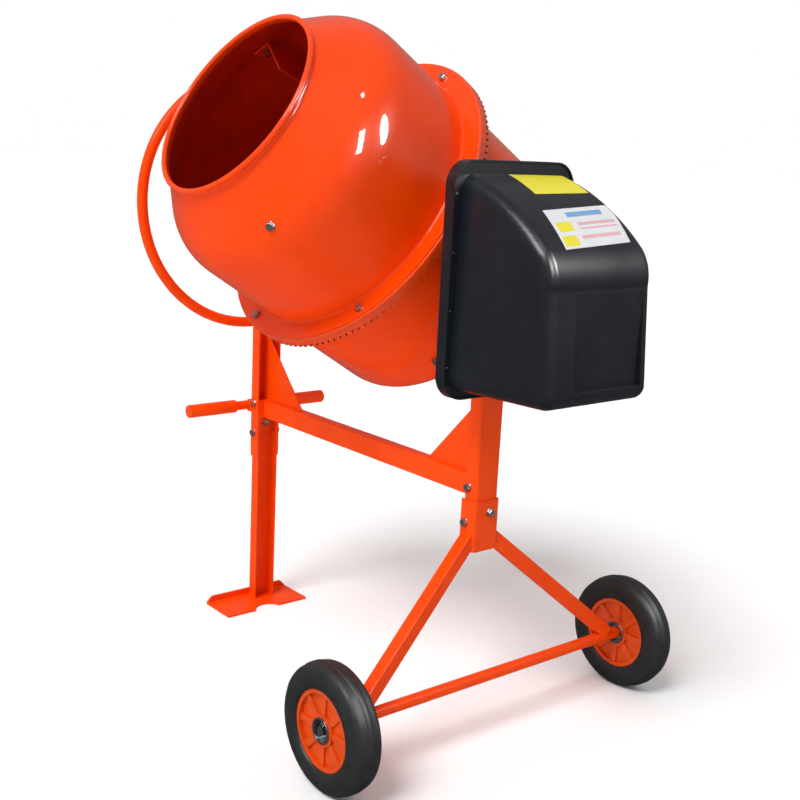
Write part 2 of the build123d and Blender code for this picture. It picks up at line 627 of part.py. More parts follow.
def make_strut(side):
    """Square tube from the wheel post down to the axle tube."""
    top = Vector(STRUT_TOP[0], side * RIGHT_WIDTH / 2, STRUT_TOP[1])
    foot = Vector(STRUT_FOOT[0], side * STRUT_FOOT[1], STRUT_FOOT[2])
    along = top - foot
    with BuildPart() as strut:
        with BuildSketch(Plane(foot, x_dir=Vector(1, 0, 0).cross(along), z_dir=along)):
            RectangleRounded(STRUT_SIDE, STRUT_SIDE, 1.5 * STRUT_WALL)
            RectangleRounded(STRUT_SIDE - 2 * STRUT_WALL, STRUT_SIDE - 2 * STRUT_WALL, 0.5 * STRUT_WALL,
                             mode=Mode.SUBTRACT)
        extrude(amount=along.length + 2 * STRUT_SIDE)
        split(bisect_by=Plane((0, side * RIGHT_WIDTH / 2, 0), z_dir=(0, side, 0)), keep=Keep.TOP)
        rod(wheel_face(-1, TUBE_END - HALF_TRACK), AXLE_TUBE_RADIUS, -2 * TUBE_END, Mode.SUBTRACT)
    return strut.part


STRUTS = []
for side_name, side in (("near", -1), ("far", 1)):
    strut_piece = make_strut(side)
    strut_piece.label = f"strut_{side_name}"
    STRUTS.append(strut_piece)

# ================================================================== tilt bearings
LEFT_BUSH_RADIUS = LEFT_TRUNNION_RADIUS + RUNNING_FIT + BUSH_WALL
RIGHT_BUSH_RADIUS = RIGHT_TRUNNION_RADIUS + RUNNING_FIT + BUSH_WALL
LEFT_BEARING = (LEFT_WEB - 22, LEFT_TIP + 6)
RIGHT_BEARING = (RIGHT_HEAD_TIP + 4, RIGHT_WEB + 4)

with BuildPart() as bearing_tubes:
    ring(across_x(LEFT_BEARING[0], 0, TILT_HEIGHT), LEFT_BUSH_RADIUS + BEARING_TUBE_WALL, LEFT_BUSH_RADIUS,
         LEFT_BEARING[1] - LEFT_BEARING[0])
    ring(across_x(RIGHT_BEARING[0], 0, TILT_HEIGHT), RIGHT_BUSH_RADIUS + BEARING_TUBE_WALL,
         RIGHT_BUSH_RADIUS, RIGHT_BEARING[1] - RIGHT_BEARING[0])
bearing_tubes.part.label = "bearing_tubes"

with BuildPart() as trunnion_bushes:
    ring(across_x(LEFT_BEARING[0], 0, TILT_HEIGHT), LEFT_BUSH_RADIUS, LEFT_TRUNNION_RADIUS + RUNNING_FIT,
         LEFT_BEARING[1] - LEFT_BEARING[0])
    ring(across_x(RIGHT_BEARING[0], 0, TILT_HEIGHT), RIGHT_BUSH_RADIUS, RIGHT_TRUNNION_RADIUS + RUNNING_FIT,
         RIGHT_BEARING[1] - RIGHT_BEARING[0])
trunnion_bushes.part.label = "trunnion_bushes"

# ================================================================== yoke
YOKE_OUTSIDE = YOKE_INSIDE + YOKE_THICKNESS
CROSS_TOP = BOTTOM_LEVEL - YOKE_GAP
CROSS_BOTTOM = CROSS_TOP - YOKE_THICKNESS * 1.5

with BuildPart() as yoke:
    with BuildSketch(DRUM_PROFILE):
        with Locations((0, CROSS_BOTTOM / 2)):
            Rectangle(2 * YOKE_OUTSIDE, -CROSS_BOTTOM)
        fillet(vertices().group_by(Axis.Y)[0], YOKE_CORNER + YOKE_THICKNESS)
    extrude(amount=YOKE_WIDTH / 2, both=True)
    with BuildSketch(DRUM_PROFILE):
        with Locations((0, CROSS_TOP / 2)):
            Rectangle(2 * YOKE_INSIDE, -CROSS_TOP)
        fillet(vertices().group_by(Axis.Y)[0], YOKE_CORNER)
    extrude(amount=YOKE_WIDTH / 2, both=True, mode=Mode.SUBTRACT)
    for start in (-YOKE_OUTSIDE, YOKE_INSIDE):
        rod(across_x(start, 0, TILT_HEIGHT), YOKE_HUB_RADIUS, YOKE_THICKNESS)
    rod(drum_level(CROSS_BOTTOM), HOUSING_FLANGE_RADIUS, CROSS_TOP - CROSS_BOTTOM)
    rod(across_x(-YOKE_OUTSIDE - 1, 0, TILT_HEIGHT), LEFT_TRUNNION_RADIUS, YOKE_THICKNESS + 2, Mode.SUBTRACT)
    rod(across_x(YOKE_INSIDE - 1, 0, TILT_HEIGHT), RIGHT_TRUNNION_RADIUS, YOKE_THICKNESS + 2, Mode.SUBTRACT)
    rod(drum_level(CROSS_BOTTOM - 1), HOUSING_RADIUS, CROSS_TOP - CROSS_BOTTOM + 2, Mode.SUBTRACT)
yoke.part.label = "yoke"

HUB_END = HANDWHEEL_X - HANDWHEEL_HUB_LENGTH / 2
TRUNNION_END = RIGHT_BEARING[1] + 6

with BuildPart() as left_trunnion:
    rod(across_x(HUB_END, 0, TILT_HEIGHT), LEFT_TRUNNION_RADIUS, -YOKE_INSIDE - HUB_END)
left_trunnion.part.label = "left_trunnion"

with BuildPart() as right_trunnion:
    ring(across_x(YOKE_INSIDE, 0, TILT_HEIGHT), RIGHT_TRUNNION_RADIUS, RIGHT_TRUNNION_BORE,
         TRUNNION_END - YOKE_INSIDE)
right_trunnion.part.label = "right_trunnion"

with BuildPart() as pinion_bearings:
    for start in (YOKE_INSIDE, TRUNNION_END - PINION_BEARING_WIDTH):
        ring(across_x(start, 0, TILT_HEIGHT), RIGHT_TRUNNION_BORE, PINION_SHAFT_RADIUS + RUNNING_FIT,
             PINION_BEARING_WIDTH)
pinion_bearings.part.label = "pinion_bearings"

# The housing of the drum's spindle is let into the yoke's cross member and bolted under it.
HOUSING_START = CROSS_TOP + 6
HOUSING_END = HOUSING_START - HOUSING_LENGTH

with BuildPart() as spindle_housing:
    ring(drum_level(HOUSING_END), HOUSING_RADIUS, SPINDLE_BEARING_RADIUS, HOUSING_LENGTH)
    ring(drum_level(CROSS_BOTTOM - HOUSING_FLANGE), HOUSING_FLANGE_RADIUS, HOUSING_RADIUS - 1, HOUSING_FLANGE)
spindle_housing.part.label = "spindle_housing"

with BuildPart() as spindle_bearings:
    for start in (HOUSING_END + 1, HOUSING_START - 1 - SPINDLE_BEARING_WIDTH):
        ring(drum_level(start), SPINDLE_BEARING_RADIUS, SPINDLE_RADIUS + RUNNING_FIT, SPINDLE_BEARING_WIDTH)
spindle_bearings.part.label = "spindle_bearings"

# ================================================================== handwheel and tilt lock
HANDWHEEL_SECTION = Plane((HANDWHEEL_X, 0, TILT_HEIGHT + HANDWHEEL_RADIUS), x_dir=(1, 0, 0), z_dir=(0, -1, 0))

with BuildPart() as handwheel_ring:
    with BuildSketch(HANDWHEEL_SECTION):
        Circle(HANDWHEEL_TUBE)
    revolve(axis=Axis((HANDWHEEL_X, 0, TILT_HEIGHT), (1, 0, 0)))
handwheel_ring.part.label = "handwheel_ring"

with BuildPart() as handwheel_hub:
    ring(across_x(HUB_END, 0, TILT_HEIGHT), HANDWHEEL_HUB_RADIUS, LEFT_TRUNNION_RADIUS, HANDWHEEL_HUB_LENGTH)
handwheel_hub.part.label = "handwheel_hub"

with BuildPart() as handwheel_bar:
    rod(Plane((HANDWHEEL_X, 0, TILT_HEIGHT - HANDWHEEL_RADIUS)), HANDWHEEL_BAR_RADIUS, 2 * HANDWHEEL_RADIUS)
    rod(across_x(HUB_END, 0, TILT_HEIGHT), HANDWHEEL_HUB_RADIUS, HANDWHEEL_HUB_LENGTH, Mode.SUBTRACT)
    with BuildSketch(HANDWHEEL_SECTION):
        Circle(HANDWHEEL_TUBE)
    revolve(axis=Axis((HANDWHEEL_X, 0, TILT_HEIGHT), (1, 0, 0)), mode=Mode.SUBTRACT)
handwheel_bar.part.label = "handwheel_bar"

LOCK_DISC_START = -YOKE_OUTSIDE - 3 - LOCK_DISC_THICKNESS
LOCK_POINT = Vector(0, 0, TILT_HEIGHT - LOCK_CIRCLE)

with BuildPart() as lock_disc:
    ring(across_x(LOCK_DISC_START, 0, TILT_HEIGHT), LOCK_DISC_RADIUS, LEFT_TRUNNION_RADIUS,
         LOCK_DISC_THICKNESS)
    for turn in (0, -TILT_RAISE, TILT_LOWER):
        angle = math.radians(-90 - turn)
        rod(across_x(LOCK_DISC_START - 1, LOCK_CIRCLE * math.cos(angle),
                     TILT_HEIGHT + LOCK_CIRCLE * math.sin(angle)),
            LOCK_PIN_RADIUS + 0.5, LOCK_DISC_THICKNESS + 2, Mode.SUBTRACT)
lock_disc.part.label = "lock_disc"

LOCK_HOUSING_START = LEFT_WEB - LOCK_HOUSING_LENGTH
LOCK_PIN_TIP = LOCK_DISC_START - 2.5
LOCK_KNOB_START = LOCK_HOUSING_START - LOCK_TRAVEL - 1.5

with BuildPart() as lock_housing:
    ring(across_x(LOCK_HOUSING_START, 0, LOCK_POINT.Z), LOCK_HOUSING_RADIUS, LOCK_PIN_RADIUS + RUNNING_FIT,
         LOCK_HOUSING_LENGTH + SHEET + 6)
lock_housing.part.label = "lock_housing"

with BuildPart() as lock_pin:
    rod(across_x(LOCK_KNOB_START, 0, LOCK_POINT.Z), LOCK_PIN_RADIUS, LOCK_PIN_TIP - LOCK_KNOB_START)
    rod(across_x(LOCK_KNOB_START, 0, LOCK_POINT.Z), LOCK_HOUSING_RADIUS, -9)
    fillet(lock_pin.edges().filter_by(GeomType.CIRCLE).group_by(Axis.X)[0], 2)
lock_pin.part.label = "lock_pin"

# ================================================================== drum shells
NECK_LEVEL = MOUTH_LEVEL - NECK_HEIGHT
SHOULDER_LEVEL = NECK_LEVEL - (UPPER_RADIUS - MOUTH_RADIUS) / math.tan(math.radians(CONE_ANGLE))
FLANGE_BOLTS = [FLANGE_BOLT_START + 360 / FLANGE_BOLT_COUNT * k for k in range(FLANGE_BOLT_COUNT)]
LOWER_FLANGE_LEVEL = FLANGE_LEVEL - RING_WEB
FLANGE_GRIP = RING_WEB + 2 * DRUM_WALL
BLADE_ANGLES = (FLANGE_BOLTS[2], FLANGE_BOLTS[5])


def drill_flange():
    """Cut the flange bolts' clearance holes through the part being made."""
    with BuildSketch(drum_level(FLANGE_LEVEL - FLANGE_GRIP)) as holes:
        for angle in FLANGE_BOLTS:
            with Locations(flange_point(angle)):
                Circle(BOLT_HOLE)
    extrude(holes.sketch, amount=2 * FLANGE_GRIP, mode=Mode.SUBTRACT)


def flange_point(angle):
    """Place of a flange bolt in the drum's own cross plane."""
    turn = math.radians(angle)
    return (-FLANGE_BOLT_CIRCLE * math.cos(turn), -FLANGE_BOLT_CIRCLE * math.sin(turn))


SHOULDER_ROUND = (UPPER_RADIUS - SHOULDER_BLEND,
                  SHOULDER_LEVEL - SHOULDER_BLEND * math.tan(math.radians(CONE_ANGLE / 2)))
BLADE_GRIP = DRUM_WALL + BLADE_TAB_GAP + BLADE_THICKNESS
TAB_INSET = DRUM_WALL + BLADE_TAB_GAP + BLADE_THICKNESS / 2


def shoulder_point(turn, inset):
    """Radius and level of a point under the drum's rounded shoulder."""
    reach = SHOULDER_BLEND - inset
    return (SHOULDER_ROUND[0] + reach * math.cos(math.radians(turn)),
            SHOULDER_ROUND[1] + reach * math.sin(math.radians(turn)))


def wall_bolt(angle, radius, level, turn):
    """Plane on the drum's outer face at a blade bolt, looking into the drum."""
    radial = drum_radial(angle)
    outward = radial.x_dir * math.cos(math.radians(turn)) + DRUM_DIRECTION * math.sin(math.radians(turn))
    return Plane(radial.from_local_coords(Vector(radius, level, 0)), x_dir=radial.z_dir, z_dir=-outward)


UPPER_BLADE_BOLTS = [(wall_bolt(angle, *shoulder_point(BLADE_BOLT_TURN, 0), BLADE_BOLT_TURN), BLADE_GRIP)
                     for angle in BLADE_ANGLES]
LOWER_BLADE_BOLTS = [(wall_bolt(angle, LOWER_RADIUS, BLADE_LOW_BOLT, 0), BLADE_GRIP)
                     for angle in BLADE_ANGLES]
SPINDLE_BOLTS = [
    (Plane(drum_level(BOTTOM_LEVEL + DRUM_WALL).from_local_coords(
        Vector(SPINDLE_BOLT_CIRCLE * math.cos(math.radians(turn)),
               SPINDLE_BOLT_CIRCLE * math.sin(math.radians(turn)), 0)), x_dir=(1, 0, 0), z_dir=-DRUM_DIRECTION),
     DRUM_WALL + SPINDLE_FLANGE)
    for turn in (45, 135, 225, 315)
]


with BuildPart() as drum_upper:
    with BuildSketch(DRUM_PROFILE):
        with BuildLine():
            wall_line = Polyline(
                (UPPER_RADIUS, FLANGE_LEVEL),
                (UPPER_RADIUS, SHOULDER_LEVEL),
                (MOUTH_RADIUS, NECK_LEVEL),
                (MOUTH_RADIUS, MOUTH_LEVEL - BEAD_RADIUS),
            )
            fillet(wall_line.vertices().sort_by(Axis.Y)[1], SHOULDER_BLEND)
            offset(amount=DRUM_WALL, side=Side.LEFT)
        make_face()
    revolve(axis=DRUM_AXIS)
    with BuildSketch(DRUM_PROFILE):
        with Locations((MOUTH_RADIUS, MOUTH_LEVEL - BEAD_RADIUS)):
            Circle(BEAD_RADIUS)
    revolve(axis=DRUM_AXIS)
    with BuildSketch(DRUM_PROFILE):
        with Locations(((UPPER_RADIUS - DRUM_WALL + FLANGE_RADIUS) / 2, FLANGE_LEVEL + DRUM_WALL / 2)):
            Rectangle(FLANGE_RADIUS - UPPER_RADIUS + DRUM_WALL, DRUM_WALL)
    revolve(axis=DRUM_AXIS)
    drill_flange()
    drill(UPPER_BLADE_BOLTS)
drum_upper.part.label = "drum_upper"

with BuildPart() as drum_lower:
    with BuildSketch(DRUM_PROFILE):
        with BuildLine():
            bowl_line = Polyline(
                (0, BOTTOM_LEVEL),
                (LOWER_RADIUS, BOTTOM_LEVEL),
                (LOWER_RADIUS, LOWER_FLANGE_LEVEL),
            )
            fillet(bowl_line.vertices().sort_by(Axis.X)[1], BOWL_BLEND)
            offset(amount=DRUM_WALL, side=Side.LEFT)
        make_face()
    revolve(axis=DRUM_AXIS)
    with BuildSketch(drum_level(LOWER_FLANGE_LEVEL - DRUM_WALL)):
        Circle(RING_RADIUS - RING_FACE - 1)
        Circle(LOWER_RADIUS - DRUM_WALL, mode=Mode.SUBTRACT)
    extrude(amount=DRUM_WALL)
    drill_flange()
    drill(LOWER_BLADE_BOLTS + SPINDLE_BOLTS)
drum_lower.part.label = "drum_lower"

# ================================================================== ring gear
RING_ROOT_LEVEL = PINION_RADIUS + DEDENDUM
RING_TIP_LEVEL = PINION_RADIUS - ADDENDUM
TOOTH_SLOPE = math.tan(math.radians(PRESSURE_ANGLE))
RING_TOOTH = TOOTH_PITCH / 2 - TOOTH_THINNING
TOOTH_STEP = 360 / RING_TEETH
SEGMENT_ANGLE = 360 / RING_SEGMENTS
SEGMENT_CUT = math.degrees(SEGMENT_GAP / RING_RADIUS)

with BuildPart() as ring_segment:
    with BuildSketch(DRUM_PROFILE):
        with BuildLine():
            Polyline(
                (UPPER_RADIUS + 1, FLANGE_LEVEL),
                (RING_RADIUS, FLANGE_LEVEL),
                (RING_RADIUS, RING_ROOT_LEVEL),
                (RING_RADIUS - RING_FACE, RING_ROOT_LEVEL),
                (RING_RADIUS - RING_FACE, LOWER_FLANGE_LEVEL),
                (UPPER_RADIUS + 1, LOWER_FLANGE_LEVEL),
                close=True,
            )
        make_face()
    revolve(axis=DRUM_AXIS, revolution_arc=SEGMENT_ANGLE - SEGMENT_CUT)
    for tooth in range(RING_TEETH // RING_SEGMENTS):
        turn = math.radians((tooth + 0.5) * TOOTH_STEP)
        # the profile turns from +X towards the upper side, against DRUM_ACROSS
        outward = Vector(math.cos(turn), 0, 0) - DRUM_ACROSS * math.sin(turn)
        tooth_plane = Plane(TILT_POINT + outward * (RING_RADIUS - RING_FACE + TOOTH_INSET),
                            x_dir=DRUM_DIRECTION.cross(outward), z_dir=outward)
        up = tooth_plane.y_dir.dot(DRUM_DIRECTION)
        tip_half = RING_TOOTH / 2 - ADDENDUM * TOOTH_SLOPE
        root_half = RING_TOOTH / 2 + DEDENDUM * TOOTH_SLOPE
        with BuildSketch(tooth_plane):
            with BuildLine():
                Polyline(
                    (-root_half, up * (RING_ROOT_LEVEL + 0.5)),
                    (-root_half, up * RING_ROOT_LEVEL),
                    (-tip_half, up * RING_TIP_LEVEL),
                    (tip_half, up * RING_TIP_LEVEL),
                    (root_half, up * RING_ROOT_LEVEL),
                    (root_half, up * (RING_ROOT_LEVEL + 0.5)),
                    close=True,
                )
            make_face()
    extrude(amount=RING_FACE - 2 * TOOTH_INSET)

with BuildPart() as ring_gear:
    for quarter in range(RING_SEGMENTS):
        add(ring_segment.part.rotate(DRUM_AXIS, (quarter + 0.5 * SEGMENT_CUT / SEGMENT_ANGLE) * SEGMENT_ANGLE))
    drill_flange()
ring_gear.part.label = "ring_gear"

# ================================================================== mixing blades

def blade(angle):
    """Paddle standing beside its two bolts, with a tab bent under each."""
    radial = drum_radial(angle)
    edge = LOWER_RADIUS - TAB_INSET
    top = shoulder_point(BLADE_BOLT_TURN, TAB_INSET)
    slant = math.radians(BLADE_BOLT_TURN)
    tab = (BLADE_TAB_LENGTH / 2 * math.sin(slant), BLADE_TAB_LENGTH / 2 * math.cos(slant))
    with BuildSketch(radial.offset(BLADE_OFFSET)) as plate:
        with BuildLine():
            Polyline(
                (edge, BLADE_LOW_END),
                (UPPER_RADIUS - TAB_INSET, SHOULDER_ROUND[1]),
                (top[0] + tab[0], top[1] - tab[1]),
                (top[0] - tab[0], top[1] + tab[1]),
                (top[0] - BLADE_DEPTH, top[1] - BLADE_TAB_LENGTH / 3),
                (edge - BLADE_DEPTH, SHOULDER_ROUND[1] - BLADE_TAB_LENGTH),
                (edge - BLADE_DEPTH, BLADE_LOW_END + BLADE_TAB_LENGTH / 2),
                close=True,
            )
        make_face()
    extrude(plate.sketch, amount=BLADE_THICKNESS)
    with BuildSketch(radial.offset(-BLADE_OFFSET)) as tabs:
        with Locations(Location((top[0], top[1], 0), (0, 0, BLADE_BOLT_TURN))):
            Rectangle(BLADE_THICKNESS, BLADE_TAB_LENGTH)
        with Locations((edge, BLADE_LOW_BOLT)):
            Rectangle(BLADE_THICKNESS, BLADE_TAB_LENGTH)
    extrude(tabs.sketch, amount=2 * BLADE_OFFSET + BLADE_THICKNESS)


with BuildPart() as mixing_blades:
    for angle in BLADE_ANGLES:
        blade(angle)
    drill(UPPER_BLADE_BOLTS + LOWER_BLADE_BOLTS)
mixing_blades.part.label = "mixing_blades"

# ================================================================== spindle
SPINDLE_START = BOTTOM_LEVEL - SPINDLE_FLANGE
SPINDLE_END = HOUSING_END - 1 - SPINDLE_NUT_HEIGHT - 4

with BuildPart() as spindle:
    rod(drum_level(SPINDLE_START), SPINDLE_FLANGE_RADIUS, SPINDLE_FLANGE)
    rod(drum_level(SPINDLE_END), SPINDLE_RADIUS, SPINDLE_START - SPINDLE_END)
    drill(SPINDLE_BOLTS)
spindle.part.label = "spindle"

with BuildPart() as drum_fasteners:
    for angle in FLANGE_BOLTS:
        x_place, y_place = flange_point(angle)
        flange_top = drum_level(FLANGE_LEVEL + DRUM_WALL).from_local_coords(Vector(x_place, y_place, 0))
        hexagon_bolt(Plane(flange_top, x_dir=(1, 0, 0), z_dir=-DRUM_DIRECTION), FLANGE_GRIP)
    for bolt_plane, bolt_grip in UPPER_BLADE_BOLTS + LOWER_BLADE_BOLTS:
        hexagon_bolt(bolt_plane, bolt_grip)
        ring(shifted(bolt_plane, DRUM_WALL + SPACER_SEAT), WASHER_RADIUS, BOLT_RADIUS - 0.1,
             BLADE_TAB_GAP - SPACER_SEAT)
    for bolt_plane, bolt_grip in SPINDLE_BOLTS:
        hexagon_bolt(bolt_plane, bolt_grip)
    with BuildSketch(drum_level(HOUSING_END - 1 - SPINDLE_NUT_HEIGHT)):
        RegularPolygon(SPINDLE_NUT_FLATS / math.sqrt(3), 6)
        Circle(SPINDLE_RADIUS, mode=Mode.SUBTRACT)
    extrude(amount=SPINDLE_NUT_HEIGHT)
drum_fasteners.part.label = "drum_fasteners"

# ================================================================== pinion and its shaft
PINION_START = RING_MEAN_RADIUS - PINION_FACE / 2
PINION_BASE = PINION_RADIUS * math.cos(math.radians(PRESSURE_ANGLE))
PINION_TIP = PINION_RADIUS + ADDENDUM
PINION_ROOT = PINION_RADIUS - DEDENDUM
PINION_TOOTH = TOOTH_PITCH / 2 - TOOTH_THINNING


def involute(radius):
    """Involute function of the pressure angle at this radius of the pinion."""
    pressure = math.acos(min(1.0, PINION_BASE / radius))
    return math.tan(pressure) - pressure


def flank_point(radius, side):
    """Point on one flank of the pinion tooth that points along local x."""
    half = PINION_TOOTH / 2 / PINION_RADIUS + involute(PINION_RADIUS) - involute(max(radius, PINION_BASE))
    return (radius * math.cos(half), side * radius * math.sin(half))


with BuildPart() as pinion:
    with BuildSketch(Plane((PINION_START, 0, TILT_HEIGHT), x_dir=DRUM_DIRECTION, z_dir=(1, 0, 0))) as gear:
        with BuildLine(mode=Mode.PRIVATE) as tooth_outline:
            Line(flank_point(PINION_ROOT - 1, 1), flank_point(PINION_BASE, 1))
            ThreePointArc(flank_point(PINION_BASE, 1), flank_point(PINION_RADIUS, 1),
                          flank_point(PINION_TIP, 1))
            Line(flank_point(PINION_TIP, 1), flank_point(PINION_TIP, -1))
            ThreePointArc(flank_point(PINION_TIP, -1), flank_point(PINION_RADIUS, -1),
                          flank_point(PINION_BASE, -1))
            Line(flank_point(PINION_BASE, -1), flank_point(PINION_ROOT - 1, -1))
            Line(flank_point(PINION_ROOT - 1, -1), flank_point(PINION_ROOT - 1, 1))
        Circle(PINION_ROOT)
        with PolarLocations(0, PINION_TEETH):
            add(make_face(tooth_outline.edges(), mode=Mode.PRIVATE))
        Circle(PINION_SHAFT_RADIUS, mode=Mode.SUBTRACT)
    extrude(amount=PINION_FACE)
pinion.part.label = "pinion"

PULLEY_START = PULLEY_X - PULLEY_WIDTH / 2

with BuildPart() as pinion_shaft:
    rod(across_x(PINION_START, 0, TILT_HEIGHT), PINION_SHAFT_RADIUS, PULLEY_START + PULLEY_WIDTH - PINION_START)
pinion_shaft.part.label = "pinion_shaft"


with BuildPart() as large_pulley:
    ring(across_x(PULLEY_START, 0, TILT_HEIGHT), LARGE_PULLEY_RADIUS, LARGE_PULLEY_RADIUS - PULLEY_RIM,
         PULLEY_WIDTH)
    ring(across_x(PULLEY_X - PULLEY_WEB / 2, 0, TILT_HEIGHT), LARGE_PULLEY_RADIUS - PULLEY_RIM + 1,
         PINION_SHAFT_RADIUS, PULLEY_WEB)
    ring(across_x(PULLEY_START, 0, TILT_HEIGHT), 2 * PINION_SHAFT_RADIUS, PINION_SHAFT_RADIUS, PULLEY_WIDTH)
    with BuildSketch(across_x(PULLEY_START, 0, TILT_HEIGHT)):
        with PolarLocations((LARGE_PULLEY_RADIUS - PULLEY_RIM + 2 * PINION_SHAFT_RADIUS) / 2, PULLEY_HOLES):
            Circle(PULLEY_HOLE_RADIUS)
    extrude(amount=PULLEY_WIDTH, mode=Mode.SUBTRACT)
large_pulley.part.label = "large_pulley"

with BuildPart() as belt:
    with BuildSketch(across_x(PULLEY_X - BELT_WIDTH / 2)):
        with Locations((0, TILT_HEIGHT)):
            Circle(LARGE_PULLEY_RADIUS + BELT_PLAY + BELT_THICKNESS)
        with Locations((0, MOTOR_LEVEL)):
            Circle(MOTOR_PULLEY_RADIUS + BELT_PLAY + BELT_THICKNESS)
        make_hull()
    extrude(amount=BELT_WIDTH)
    with BuildSketch(across_x(PULLEY_X - BELT_WIDTH / 2)):
        with Locations((0, TILT_HEIGHT)):
            Circle(LARGE_PULLEY_RADIUS + BELT_PLAY)
        with Locations((0, MOTOR_LEVEL)):
            Circle(MOTOR_PULLEY_RADIUS + BELT_PLAY)
        make_hull()
    extrude(amount=BELT_WIDTH, mode=Mode.SUBTRACT)
belt.part.label = "belt"

# ================================================================== motor
PLATE_X = RIGHT_HEAD_WEB
PLATE_FACE = PLATE_X + PLATE_WALL
MOTOR_PLATE_X = PULLEY_START + PULLEY_WIDTH + 6
MOTOR_START = MOTOR_PLATE_X + MOTOR_PLATE
SHAFT_REACH = ROTOR_START + ROTOR_LENGTH + 16
STANDOFFS = [(y, MOTOR_LEVEL + z) for y in (-52, 52) for z in (-46, 46)]

with BuildPart() as motor_pulley:
    rod(across_x(PULLEY_START, 0, MOTOR_LEVEL), MOTOR_PULLEY_RADIUS, PULLEY_WIDTH)
    rod(across_x(PULLEY_START, 0, MOTOR_LEVEL), MOTOR_SHAFT_RADIUS, MOTOR_START + SHAFT_REACH - PULLEY_START)
motor_pulley.part.label = "motor_pulley"

with BuildPart() as motor_rotor:
    ring(across_x(MOTOR_START + ROTOR_START, 0, MOTOR_LEVEL), ROTOR_RADIUS, MOTOR_SHAFT_RADIUS, ROTOR_LENGTH)
motor_rotor.part.label = "motor_rotor"

with BuildPart() as motor_bracket:
    with BuildSketch(across_x(MOTOR_PLATE_X, 0, MOTOR_LEVEL)):
        RectangleRounded(2 * MOTOR_PLATE_HALF, 2 * MOTOR_PLATE_HALF - 10, 8)
        Circle(MOTOR_SHAFT_RADIUS + 10, mode=Mode.SUBTRACT)
    extrude(amount=MOTOR_PLATE)
    for y, z in STANDOFFS:
        rod(across_x(PLATE_FACE, y, z), STANDOFF_RADIUS, MOTOR_PLATE_X - PLATE_FACE)
motor_bracket.part.label = "motor_bracket"

with BuildPart() as motor_body:
    rod(across_x(MOTOR_START, 0, MOTOR_LEVEL), MOTOR_RADIUS, MOTOR_LENGTH)
    fillet(motor_body.edges().filter_by(GeomType.CIRCLE).group_by(Axis.X)[-1], 10)
    with BuildSketch(across_x(MOTOR_START + 15, 0, MOTOR_LEVEL)):
        with PolarLocations(MOTOR_RADIUS, 24):
            Rectangle(8, 4)
    extrude(amount=MOTOR_LENGTH - 40, mode=Mode.SUBTRACT)
    rod(across_x(MOTOR_START - 1, 0, MOTOR_LEVEL), MOTOR_SHAFT_RADIUS + RUNNING_FIT, SHAFT_REACH + 2,
        Mode.SUBTRACT)
    rod(across_x(MOTOR_START + ROTOR_START - ROTOR_GAP, 0, MOTOR_LEVEL), ROTOR_RADIUS + ROTOR_GAP,
        ROTOR_LENGTH + 2 * ROTOR_GAP, Mode.SUBTRACT)
motor_body.part.label = "motor_body"

CAPACITOR_LEVEL = MOTOR_LEVEL + MOTOR_RADIUS + CAPACITOR_RADIUS

with BuildPart() as capacitor:
    rod(across_x(MOTOR_START + 20, 0, CAPACITOR_LEVEL), CAPACITOR_RADIUS, CAPACITOR_LENGTH)
    fillet(capacitor.edges().filter_by(GeomType.CIRCLE), 2)
capacitor.part.label = "capacitor"

# ================================================================== motor housing
PLATE_MIDDLE = (PLATE_BOTTOM + PLATE_TOP) / 2
PLATE_HEIGHT = PLATE_TOP - PLATE_BOTTOM
LIP_HALF = PLATE_HALF - PLATE_WALL - 0.5
SCREWS = [(side * (COVER_HALF + SCREW_HEAD_RADIUS + 0.6), PLATE_BOTTOM + PLATE_HEIGHT * share)
          for side in (-1, 1) for share in (0.14, 0.38, 0.62, 0.86)]

with BuildPart() as back_plate:
    with BuildSketch(across_x(PLATE_X, 0, PLATE_MIDDLE)):
        RectangleRounded(2 * PLATE_HALF, PLATE_HEIGHT, PLATE_CORNER)
    extrude(amount=PLATE_DEPTH)
    with BuildSketch(across_x(PLATE_FACE, 0, PLATE_MIDDLE)):
        RectangleRounded(2 * (PLATE_HALF - PLATE_WALL - LEDGE_WIDTH),
                         PLATE_HEIGHT - 2 * (PLATE_WALL + LEDGE_WIDTH), PLATE_CORNER - PLATE_WALL - LEDGE_WIDTH)
    extrude(amount=PLATE_DEPTH, mode=Mode.SUBTRACT)
    with BuildSketch(across_x(PLATE_FACE + LEDGE_DEPTH, 0, PLATE_MIDDLE)):
        RectangleRounded(2 * (PLATE_HALF - PLATE_WALL), PLATE_HEIGHT - 2 * PLATE_WALL,
                         PLATE_CORNER - PLATE_WALL)
    extrude(amount=PLATE_DEPTH, mode=Mode.SUBTRACT)
    rod(across_x(PLATE_X - 1, 0, TILT_HEIGHT), RIGHT_BUSH_RADIUS + BEARING_TUBE_WALL, PLATE_WALL + 2,
        Mode.SUBTRACT)
    drill(PLATE_BOLTS)
    for y, z in SCREWS:
        rod(across_x(PLATE_FACE, y, z), SCREW_RADIUS, LEDGE_DEPTH, Mode.SUBTRACT)
back_plate.part.label = "back_plate"

LIP_X = PLATE_FACE + LEDGE_DEPTH


